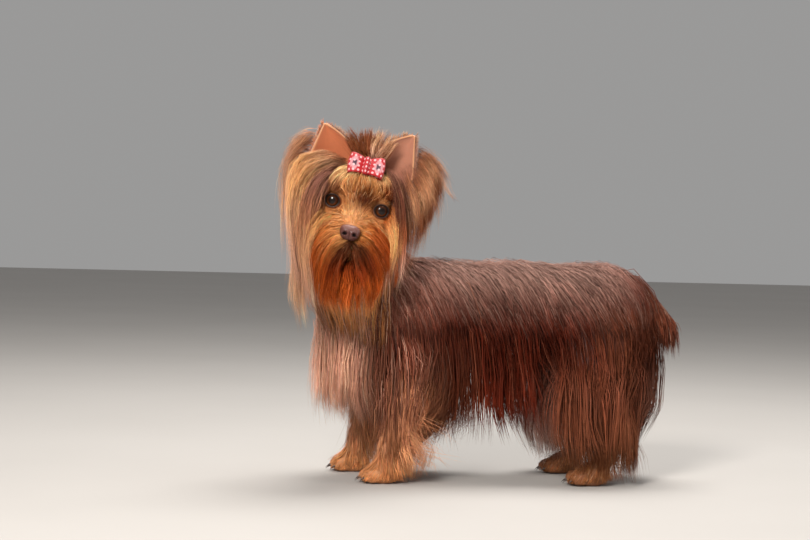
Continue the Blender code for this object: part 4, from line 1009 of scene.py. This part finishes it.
for i in range(rows):
    v = 2 * i / (rows - 1) - 1
    for j in range(columns):
        turn = j / columns * 2 * math.pi
        swell = (1 - 0.30 * v * v) * (1 + 0.05 * math.cos(7 * turn))
        points.append((3.4 * swell * math.cos(turn), 4.9 * swell * math.sin(turn), 8.6 * v))
        tones.append((0.40, 0.005, 0.012))
        prints.append((j / columns * 6.0, i / (rows - 1) * 4.0))
faces = face_grid(rows, columns, True) + [tuple(reversed(range(columns))),
                                          tuple((rows - 1) * columns + j for j in range(columns))]
knot = bow_piece("ribbon_knot", points, faces, tones, prints)
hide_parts("bow_knot")

# ================================================================ face fur
# The short and middling fur of the head: flat on the bridge of the muzzle, turned away from each eye,
# longer down the cheeks, and combed up over the brow into the knot. It lies in the skin's own gold.
face_hair = hair_material("face_hair", 0.44)


def head_places(points):
    return (points - EYE_MIDDLE) @ HEAD


def from_eye(head, name, ahead=0):
    """The way to places on the head from an eye's middle, or from a little ahead of it."""
    return head - np.array([EYE_ACROSS[name], EYE_DEPTH + ahead, 0])


def face_lie(head, out_head):
    """The lie of the face's fur, and its length, in the head's own axes."""
    across, forward, up = head.T
    aside, one = np.clip(across / 5, -1, 1), np.ones(len(head))
    sideways = ramp(np.abs(across), 3, 9)
    to_knot = np.array([0, -10, 31]) - head
    parts = [  # the muzzle, the brow, the stop between the eyes and the crown: how much, lie, length
        (ramp(forward, 0, 10) * ramp(-up, 0, 8),
         np.stack([(0.25 + 0.75 * sideways) * aside, -0.9 + 0.3 * sideways, 0.45 - 1.1 * sideways], 1),
         6 + 12 * ramp(np.abs(across), 5, 12) + 8 * ramp(-up, 26, 34)),
        (ramp(up, 3, 12) * ramp(forward, -34, -24),
         unit(to_knot), np.clip(np.linalg.norm(to_knot, axis=1) - 5, 4, 34)),
        (ramp(-np.abs(across), -15, -8) * ramp(up, -15, -8) * ramp(-up, -14, -6),
         np.stack([0.15 * aside, -0.35 * one, one], 1), 10),
        (ramp(-forward, 26, 38), np.stack([0.4 * aside, -0.5 * one, -0.8 * one], 1), 60)]
    for name, side in SIDE.items():
        away = from_eye(head, name, 4)
        parts.append((ramp(-np.linalg.norm(away * (1, 0.8, 1.1), axis=1), -16.5, -12),
                      unit(away * (1, 0.3, 1)) + np.array([0.4 * side, 0, 0.1]), 6.5))
    lie, reach = np.stack([0.75 * aside, -0.12 * one, -0.8 * one], 1), 25.0 * one  # the cheeks
    for share, way, length in parts:
        lie, reach = toward(lie, way, share), reach + (length - reach) * share
    return over_skin(unit(lie), out_head, 0.93), reach


def bare_of_eyes(points):
    """Keeps roots off the lids, the nose and the knot."""
    head = head_places(points)
    clear = np.linalg.norm((head - NOSE_AT) / (9.6, 8, 8), axis=1) > 1
    for name in SIDE:
        away = from_eye(head, name)
        clear &= np.hypot(away[:, 0] / 7.2, away[:, 2] / 6.4) > 1
    return clear & (head[:, 2] < 33)


def off_eyes(paths):
    """Which hairs leave the eyes uncovered all along."""
    head = head_places(paths)
    clear = np.ones(paths.shape[1], bool)
    for name in SIDE:
        away = from_eye(head, name)
        clear &= ((np.hypot(away[..., 0] / 6.9, away[..., 2] / 6.1) > 1) | (away[..., 1] < 0)).all(0)
    return clear


def face_density(points, low, high):
    """Face fur between two depths of the head, denser on the bridge of the muzzle."""
    head = head_places(points)
    return on_face(points) * bare_of_eyes(points) * (head[:, 1] > low) * (head[:, 1] <= high) * (
        1 + 1.3 * patch(head, (0, 20, -15), (11, 18, 11)))


for name, count, seed, low, high in (("face_fur", 8300, 40, -24, 60), ("crown_hair", 1900, 44, -90, -24)):
    roots, seats = roots_on_skin(count, lambda p: face_density(p, low, high), seed)
    head = head_places(roots)
    lie, reach = face_lie(head, near_head(roots)[1] @ HEAD)
    short = ramp(-reach, -16, -6)
    paths = comb(roots, lie @ HEAD.T, reach * rng.uniform(0.65, 1.1, count), (0.5 + 3.5 * rng.random(count)) * (
        1 - 0.65 * short) + 0.4, 0.12 * (head[:, 2] < 3), 60.0, 4, near_head, 1.5, 5.0)
    paths, own = curled(paths, near_head, (14, 0.42), (0.4, 26.0), (seed + 1, seed + 2))
    shown = off_eyes(paths)
    paths, head, roots, seats, short = paths[:, shown], head[shown], roots[shown], seats[shown], short[shown]
    own = np.unique(own[shown], return_inverse=True)[1]
    count = len(roots)
    colour = markings_with_painted_light(roots)
    for tone, centre, radii, share in (
            (ASH, (20, -14, 22), (16, 20, 16), 0.55), (ASH, (-20, -14, 22), (16, 20, 16), 0.5),
            ((0.30, 0.12, 0.075), (33, -16, 2), (9, 16, 18), 0.8),
            ((0.16, 0.05, 0.022), (-34, -16, -4), (9, 16, 26), 0.8), (UMBER, (0, -60, 0), (50, 30, 60), 0.8)):
        colour = toward(colour, tone, share * patch(head, centre, radii))
    root_colour = tinted(colour * 0.9, rng, 0.12, 0.15, (0.90, 0.55, 0.28)) * lock_shade(own, rng, 0.12)
    tip_colour = root_colour * 1.1 + np.array([0.06, 0.025, 0.0]) * rng.random((count, 1))
    # the dark on the brow between the eyes is painted shade below its bulge, laid on the hairs' roots and tips
    brow_painted_shade = (0.125, 0.022, 0.005), (-7, 4, 6.5), (12, 26, 9.5)
    colours = [toward(tones, brow_painted_shade[0], 0.92 * patch(head_places(places), *brow_painted_shade[1:]))
               for tones, places in ((root_colour, paths[0]), (tip_colour, paths[-1]))]
    tufts(name, paths, near_head(paths[2])[1], rng.uniform(0.38, 0.68, count) * (1 - 0.25 * short), 0.5,
          colours, seats, face_hair)

# ================================================================ falls, moustache and beard
# The long furnishings of the head, set in tresses from the ears, the cheeks and the lip: a full fall
# beside the face on the dog's right, a shorter flicked one on its left, a moustache parted under the
# nose, and the beard between.
def tresses(table):
    """Tresses, one to a line and root first, as points forward, left and up in the dog's own millimetres."""
    lines = [[point.split() for point in line.split(",")] for line in table.strip().splitlines()]
    return np.array(lines, float) * (-1, -1, 1)


FALL_RIGHT = tresses("""
156 60 310, 174 66 313, 189 64 311, 199 62 299, 200 64 266, 195 68 223, 197 72 184, 189 76 151
155 64 308, 174 71 311, 191 70 307, 199 68 288, 198 72 250, 193 78 212, 195 80 177, 188 82 146
155 66 306, 173 74 307, 190 74 299, 197 75 278, 197 81 242, 192 87 209, 192 89 177, 186 89 149
156 68 304, 172 76 302, 186 77 291, 195 80 271, 195 86 235, 190 91 202, 188 93 176, 181 94 155
157 70 302, 171 78 298, 182 80 287, 189 84 267, 191 90 233, 188 95 199, 183 97 174, 176 98 159
157 72 299, 168 80 293, 177 84 283, 184 87 265, 188 92 233, 185 96 201, 180 98 176, 173 99 161
""")
FALL_RIGHT_EDGE = tresses("""
174 46 331, 182 44 334, 190 42 332, 198 40 325, 203 40 315, 206 42 301
179 48 325, 188 44 327, 197 42 322, 203 42 312, 206 42 295, 203 44 274
184 48 319, 193 46 319, 200 44 310, 204 44 293, 200 48 263, 195 54 233
184 50 315, 194 48 310, 201 48 295, 201 50 269, 195 56 233, 195 62 195
181 50 311, 191 50 298, 198 52 274, 196 58 236, 196 64 199, 191 70 163
""")
FALL_LEFT = tresses("""
86 58 319, 76 55 314, 67 53 305, 61 51 293, 59 50 284, 58 50 275
87 59 314, 77 56 306, 68 54 295, 64 52 281, 64 52 267, 67 52 253
89 61 306, 80 59 297, 73 58 283, 71 57 268, 73 57 254, 78 57 239
93 64 299, 87 64 287, 81 64 272, 80 64 255, 82 64 238, 87 64 222
97 67 292, 93 70 279, 89 73 262, 88 75 243, 93 78 220, 100 80 194
104 69 294, 98 75 277, 94 80 256, 96 84 230, 102 87 204, 112 90 177
111 70 299, 102 77 283, 98 83 258, 100 88 232, 107 92 206, 117 95 179
117 70 303, 104 78 286, 100 85 262, 102 91 237, 109 95 209, 120 97 164
""")
FALL_LEFT_EDGE = tresses("""
86 46 323, 75 42 319, 65 40 313, 57 38 303, 52 38 292, 49 38 282
86 46 318, 76 43 311, 67 42 301, 62 42 287, 62 44 271, 64 44 259
88 46 311, 79 44 299, 72 44 283, 69 46 264, 73 48 246, 78 50 231
92 48 300, 84 48 281, 80 50 258, 83 54 235, 91 58 212, 98 62 189
""")
CHEEK_RIGHT = tresses("""
176 76 277, 182 80 272, 188 82 263, 191 84 250, 194 83 234, 194 82 219
175 78 267, 181 83 262, 187 86 252, 190 88 237, 192 88 220, 191 87 206
173 83 260, 179 88 254, 186 91 243, 189 92 226, 190 92 207, 188 91 191
167 90 255, 175 94 251, 183 95 238, 187 96 221, 188 97 201, 187 97 183
""")
CHEEK_LEFT = tresses("""
106 76 273, 103 80 266, 101 84 254, 101 87 240, 103 89 225, 105 90 209
107 78 262, 104 83 255, 103 88 245, 103 91 231, 105 93 215, 108 94 200
110 82 254, 107 88 248, 105 92 237, 106 95 224, 109 97 208, 112 98 192
116 87 250, 112 93 245, 109 96 234, 109 98 220, 112 99 204, 115 100 187
""")
BROW_RIGHT = tresses("""
173 78 277, 171 78 286, 165 77 296, 155 76 302, 145 77 303
167 80 281, 164 81 290, 157 80 298, 149 79 302, 142 79 302
161 82 281, 157 84 290, 151 83 296, 145 81 300, 140 80 300
154 84 278, 150 86 288, 146 85 293, 141 83 297, 137 81 298
""")
BROW_LEFT = tresses("""
135 84 273, 135 87 282, 134 86 289, 133 84 294, 132 82 296
127 83 272, 126 85 282, 127 84 288, 127 82 293, 128 81 295
118 81 273, 117 82 282, 118 81 290, 121 80 294, 124 79 295
108 77 271, 106 77 281, 108 76 291, 113 76 296, 120 77 297
""")
MOUSTACHE_RIGHT = tresses("""
157 101 251, 167 97 249, 177 94 239, 183 92 222, 185 90 202, 182 88 181
157 104 246, 167 100 243, 177 97 233, 182 95 217, 183 93 196, 180 92 176
156 107 240, 166 104 237, 175 101 227, 179 99 210, 179 97 189, 176 96 170
154 110 235, 163 108 231, 171 106 219, 175 103 202, 176 101 186, 172 100 167
152 112 231, 158 111 225, 165 109 214, 169 107 199, 169 105 182, 167 103 165
150 113 229, 152 113 221, 157 112 209, 160 110 194, 160 108 179, 159 106 164
""")
MOUSTACHE_LEFT = tresses("""
138 101 250, 128 97 247, 117 94 238, 109 92 222, 105 90 205, 108 88 188
138 104 245, 128 100 243, 118 97 232, 111 95 218, 108 93 201, 111 92 183
139 107 240, 129 104 236, 120 101 226, 114 99 211, 113 97 194, 117 96 177
141 110 235, 133 108 230, 125 106 219, 119 103 204, 120 101 189, 124 100 174
144 112 231, 138 111 225, 131 109 213, 127 107 199, 128 105 184, 132 103 169
147 113 229, 145 113 220, 141 112 207, 137 110 193, 138 108 179, 141 106 164
""")
BEARD = tresses("""
161 97 221, 167 99 210, 170 100 195, 170 98 178, 165 96 161
155 101 219, 160 104 207, 161 105 192, 160 103 175, 155 100 158
148 103 217, 150 106 205, 150 107 190, 150 105 173, 146 102 156
140 101 219, 136 104 207, 134 105 192, 136 103 176, 141 100 160
132 97 222, 126 99 211, 121 99 196, 122 97 180, 129 95 164
""")
skin_tree = kdtree.KDTree(len(skin_points))
for i, point in enumerate(skin_points):
    skin_tree.insert(point, i)
skin_tree.balance()
vertex_unwrap = np.zeros((len(skin_points), 2))
vertex_unwrap[corners] = corner_unwrap.reshape(-1, 2)


def curtain(guides, count, locks, spread, begin, end, flick, seed, stations):
    """Locks laid between neighbouring tresses, each from its own place along them to its own length.
    The hairs of a lock draw together to its tip, which flicks away from the head."""
    rng = np.random.default_rng(seed)
    order = rng.random(locks)
    place = order * (len(guides) - 1)
    base = np.minimum(place.astype(int), len(guides) - 2)
    share = (place - base)[:, None, None]
    held = guides[base] * (1 - share) + guides[base + 1] * share
    knots = held.shape[1]
    stray = np.linspace(spread[0], spread[1], knots)[None, :, None]
    held = held + (rng.normal(0, 0.6, (locks, 1, 3)) + rng.normal(0, 0.3, held.shape)) * stray
    held = np.concatenate([2 * held[:, :1] - held[:, 1:2], held, 2 * held[:, -1:] - held[:, -2:-1]], 1)
    last = knots - 1
    stop = rng.uniform(*end, locks) * last
    start = np.minimum(rng.uniform(*begin, locks) * last, stop - 0.3 * last) * (rng.random(locks) < 0.75)
    own = rng.permutation(np.arange(count) % locks)
    along = np.linspace(0, 1, stations)[:, None]
    where = start[own] + (stop - start)[own] * along * rng.uniform(0.8, 1.0, count)
    where = np.clip(where, 0, last + 0.05)
    first = np.minimum(where.astype(int), last - 1)
    t = (where - first)[..., None]
    p0, p1, p2, p3 = (held[own, first + k] for k in range(4))
    paths = 0.5 * (2 * p1 + (p2 - p0) * t + (2 * p0 - 5 * p1 + 4 * p2 - p3) * t**2
                   + (3 * p1 - p0 - 3 * p2 + p3) * t**3)
    loose = np.where(rng.random(count) < 0.2, 1.3, 0.35)[:, None] * spread[1]
    within = rng.normal(0, 0.55, (count, 3))
    paths = paths + within * (spread[0] + (loose - spread[0]) * along[..., None])
    _, away = near_body(paths[-1])
    turned = unit(np.cross(unit(paths[-1] - paths[-2]), away))
    bend = flick * (away * rng.uniform(-0.1, 1.0, locks)[own][:, None] + turned * rng.normal(
        0, 0.45, locks)[own][:, None])
    paths = paths + bend * along[..., None] ** 2.4
    for k in range(1, stations):
        gap, out = near_body(paths[k])
        paths[k] += out * np.clip(0.8 - gap, 0, 12)[:, None]
    seats = np.array([vertex_unwrap[skin_tree.find(p)[1]] for p in paths[0]])
    return paths, seats, own, order[own], where / last


def run_down(colours, where):
    """Colours at places along a tress, where they are spread evenly from its root to its tip."""
    steps = np.linspace(0, 1, len(colours))
    return np.stack([np.interp(where, steps, channel) for channel in np.transpose(colours)], 1)


def tress_piece(name, guides, count, locks, seed, colours, inner=None, spread=(3.5, 4.5), begin=(0, 0.3),
                end=(0.6, 1.03), flick=2.0, width=(0.32, 0.55), curl=(0.7, 26.0), stations=6, pale=0.14):
    """A furnishing of long hair. Its colours run down the tresses, and turn into the inner ones, where
    some are given, towards the last tress."""
    paths, seats, own, order, where = curtain(guides, count, locks, spread, begin, end, flick, seed, stations)
    paths = wave(paths, own, *curl, seed + 2, near_body)
    rng = np.random.default_rng(seed + 3)
    shade = lock_shade(own, rng, 0.24) * np.exp(rng.normal(0, 0.13, (count, 1)))
    shade = shade * (1 + rng.normal(0, 0.04, (count, 3)))
    lighter = (rng.random((count, 1)) < pale) * rng.uniform(0.2, 0.8, (count, 1))
    shown = off_eyes(paths)
    stops = []
    for row in where:
        tone = run_down(colours, row)
        if inner is not None:
            tone = toward(tone, run_down(inner, row), ramp(order, 0.5, 0.85))
        tone = tone * shade
        stops.append((tone + (tone * 0.9 + (0.30, 0.17, 0.09)) * lighter * 0.7)[shown])
    outs = near_body(paths[stations // 2])[1]
    return tufts(name, paths[:, shown], outs[shown], rng.uniform(*width, shown.sum()), 0.5, stops, seats[shown],
                 face_hair)


AMBER, DEEP_AMBER, HONEY = (0.45, 0.085, 0.013), (0.22, 0.030, 0.005), (0.80, 0.38, 0.14)
SAND, ROSE = (0.66, 0.35, 0.19), (0.50, 0.27, 0.20)
# the second colour on the next line is painted shade at the mouth, under the nose
STREAK, MOUTH_SHADE = (0.26, 0.11, 0.075), (0.07, 0.016, 0.005)
DUSK, EARTH, CREAM = (0.085, 0.026, 0.015), (0.25, 0.065, 0.021), (0.85, 0.52, 0.34)
BRONZE, PALE = (0.36, 0.135, 0.060), (0.90, 0.49, 0.22)
tress_piece("fall_right_edge", FALL_RIGHT_EDGE, 1150, 70, 54, [STREAK, BRONZE, SAND, ROSE, SAND],
            spread=(4, 5), begin=(0, 0.4), end=(0.55, 1.0), flick=7.0, width=(0.32, 0.62), curl=(1.6, 26.0))
tress_piece("fall_right", FALL_RIGHT, 2700, 130, 50, [BRONZE, SAND, HONEY, SAND, ROSE, SAND, CREAM],
            [STREAK, STREAK, STREAK, BRONZE, SAND, ROSE, BRONZE], begin=(0, 0.5), end=(0.62, 1.05), flick=5.0,
            width=(0.36, 0.7), curl=(1.0, 30.0), stations=7)
tress_piece("fall_left_edge", FALL_LEFT_EDGE, 1000, 60, 62, [DUSK, BRONZE, SAND, EARTH],
            spread=(4, 5), begin=(0, 0.4), end=(0.6, 1.0), flick=8.0, width=(0.32, 0.62), curl=(1.6, 26.0))
tress_piece("fall_left", FALL_LEFT, 2600, 130, 58, [STREAK, BRONZE, SAND, EARTH, EARTH, SAND],
            [STREAK, DUSK, DUSK, EARTH, ROSE, SAND], begin=(0, 0.5), end=(0.5, 1.03), flick=5.0,
            width=(0.36, 0.7), curl=(1.0, 30.0), stations=7)
tress_piece("cheek_right", CHEEK_RIGHT, 800, 60, 92, [HONEY, HONEY, SAND, HONEY], spread=(2.2, 3.0))
tress_piece("cheek_left", CHEEK_LEFT, 800, 60, 94, [AMBER, HONEY, HONEY, SAND], spread=(2.2, 3.0))
# the moustache's inner tresses start dark at the mouth, as painted shade under the nose
for name, guides, seed, outer in (
        ("right", MOUSTACHE_RIGHT, 66, [HONEY, (0.64, 0.22, 0.06), AMBER, AMBER, (0.50, 0.12, 0.025)]),
        ("left", MOUSTACHE_LEFT, 70, [(0.62, 0.23, 0.06), (0.36, 0.075, 0.014), (0.29, 0.05, 0.009), AMBER,
                                      AMBER])):
    tress_piece(f"moustache_{name}", guides, 1300, 80, seed, outer, [MOUTH_SHADE, MOUTH_SHADE, DEEP_AMBER, AMBER, AMBER],
                spread=(1.8, 3.4), width=(0.32, 0.6), curl=(0.8, 26.0), stations=7, pale=0.05)
# the beard, too, starts dark at the mouth, as painted shade
tress_piece("beard", BEARD, 1700, 80, 74, [MOUTH_SHADE, DEEP_AMBER, AMBER, AMBER, HONEY], spread=(3.0, 4.5),
            begin=(0, 0.4), end=(0.5, 1.03), flick=3.0, width=(0.35, 0.65), curl=(1.6, 22.0), stations=7,
            pale=0.05)
# the brows' tresses run dark at the roots, as painted shade below the brow's bulge, to pale above, partly the
# hair's own gold and partly painted highlight on the bulge
for name, guides, seed, foot in (("right", BROW_RIGHT, 86, [BRONZE, BRONZE, PALE]),
                                 ("left", BROW_LEFT, 88, [(0.13, 0.024, 0.005)] * 3)):
    tress_piece(f"brow_{name}", guides, 950, 60, seed, foot + [PALE, PALE, PALE, SAND], spread=(1.8, 1.8),
                begin=(0, 0.1), end=(0.7, 1.0), flick=1.0, curl=(0.5, 20.0), pale=0.2)

# ================================================================ topknot
# The gathered hair of the crown, pinned by the bow and cut short above it: a soft dark tuft that
# stands up and leans to the dog's left, with a few long pale strands beside it.
TOPKNOT = tresses("""
140 68 308, 145 64 317, 151 60 326, 156 58 333, 161 56 337
136 70 310, 141 68 320, 146 66 330, 149 65 337, 151 64 343
134 72 311, 138 72 321, 142 72 331, 144 73 338, 145 74 343
130 71 311, 130 70 322, 131 70 331, 131 70 338, 130 71 344
126 71 309, 122 70 319, 118 70 328, 114 70 335, 110 70 340
122 71 306, 114 70 313, 106 70 322, 101 69 329, 97 68 335
""")
tress_piece("topknot_tuft", TOPKNOT, 900, 60, 80, [UMBER, UMBER, (0.24, 0.11, 0.08)], spread=(2.0, 3.5),
            begin=(0, 0.2), end=(0.5, 0.95), flick=2.5, width=(0.3, 0.55), curl=(1.0, 18.0))
tress_piece("topknot_strands", TOPKNOT[3:], 300, 24, 84, [ROSE, SAND, (0.80, 0.55, 0.36)], spread=(2.0, 3.0),
            begin=(0, 0.2), end=(0.6, 1.0), flick=3.0, width=(0.3, 0.55), curl=(1.2, 24.0))

# ================================================================ ear fringes
# Short soft hairs over the backs and along the edges of the ears, set in the flock with their tips
# turned up and outwards.
for name, (leaf, tone, spots) in ear_sheets.items():
    rng = np.random.default_rng(90 if name == "left" else 91)
    count = 1400
    row, column = rng.random(count) ** 0.8 * (ear_rows - 2), rng.random(count) * (ear_columns - 1)
    edge = rng.random(count) < 0.45
    column = np.where(edge, np.where(rng.random(count) < 0.5, 0.2, ear_columns - 1.2), column)
    r, c = row.astype(int), column.astype(int)
    roots = leaf[r, c] + (leaf[r + 1, c] - leaf[r, c]) * (row - r)[:, None]
    upward = unit(leaf[r + 1, c] - leaf[r, c])
    outward = unit(leaf[r, np.minimum(c + 1, ear_columns - 1)] - leaf[r, np.maximum(c - 1, 0)]) * np.sign(
        column - ear_columns / 2)[:, None]
    behind = unit(np.cross(upward, outward)) * np.where(column < ear_columns / 2, 1, -1)[:, None]
    behind *= -np.sign(behind @ HEAD[:, 1])[:, None]
    way = unit(upward + outward * np.where(edge, 0.7, 0.1)[:, None]
               + behind * rng.uniform(0.05, 0.5, count)[:, None])
    reach = np.where(edge, rng.uniform(2.5, 6.5, count), rng.uniform(3, 7, count))
    t = np.linspace(0, 1, 4)[:, None, None]
    start = roots + behind * (0.5 * EAR_THICK)
    paths = start + way * reach[:, None] * t + outward * (reach[:, None] * 0.25) * t**2
    own = tone[r, c] * 0.9 + 0.05
    root_colour, tip_colour = tinted(own, rng, 0.15, 0.1), tinted(own * 1.15, rng, 0.15, 0.2, (0.8, 0.6, 0.4))
    tufts(f"ear_fringe_{name}", paths, behind, rng.uniform(0.35, 0.6, count), 0.5, [root_colour, tip_colour],
          spots[r, c], face_hair)

# ================================================================ floor, light and camera
# A plain pale floor under soft studio light from a key lamp in front, a fill behind and a lamp above,
# seen almost level with the dog's side from a little in front.
floor_mesh = bpy.data.meshes.new("floor")
shape = bmesh.new()
bmesh.ops.create_grid(shape, x_segments=1, y_segments=1, size=6.0)
shape.to_mesh(floor_mesh)
shape.free()
floor = new_piece("floor", floor_mesh)
floor_paint, tree, shader = node_material("pale_floor", 0.85)
level = node(tree, "ValToRGB", Fac=noise(tree, 3.0))
level.color_ramp.elements[0].color = (0.44, 0.42, 0.40, 1)
level.color_ramp.elements[1].color = (0.49, 0.47, 0.45, 1)
feed(tree, shader, Base_Color=level.outputs["Color"])
floor_mesh.materials.append(floor_paint)

world = bpy.data.worlds.new("studio")
world.use_nodes = True
feed(world.node_tree, world.node_tree.nodes["Background"], Color=(0.95, 0.94, 0.93, 1), Strength=0.34)
bpy.context.scene.world = world


def softbox(name, place, aim, size, power, colour):
    lamp = bpy.data.lights.new(name, "AREA")
    lamp.size, lamp.energy, lamp.color = size, power, colour
    held = new_piece(name, lamp)
    held.location = place
    held.rotation_euler = (Vector(aim) - Vector(place)).to_track_quat("-Z", "Y").to_euler()


softbox("key", (-0.75, -1.6, 1.25), (-0.05, 0, 0.2), 0.5, 46, (1.0, 0.95, 0.89))
softbox("fill", (1.75, -0.3, 0.85), (0, 0, 0.2), 1.2, 9, (1.0, 0.97, 0.94))
softbox("top", (0.15, 0.35, 1.7), (0, 0, 0.2), 0.9, 30, (1.0, 0.97, 0.93))

CAMERA_PLACE = (-0.2741, -1.8539, 0.2608)
CAMERA_YAW, CAMERA_PITCH, CAMERA_ROLL = math.radians(6.0), math.radians(1.7), math.radians(1.5)
lens = bpy.data.cameras.new("camera")
lens.lens, lens.sensor_width, lens.clip_start = 84.98, 36.0, 0.05
camera = new_piece("camera", lens)
aim = Matrix.Rotation(-CAMERA_YAW, 4, "Z") @ Matrix.Rotation(math.pi / 2 - CAMERA_PITCH, 4, "X")
camera.matrix_world = Matrix.Translation(CAMERA_PLACE) @ aim @ Matrix.Rotation(CAMERA_ROLL, 4, "Z")
bpy.context.scene.camera = camera
bpy.context.scene.view_settings.view_transform = "Standard"
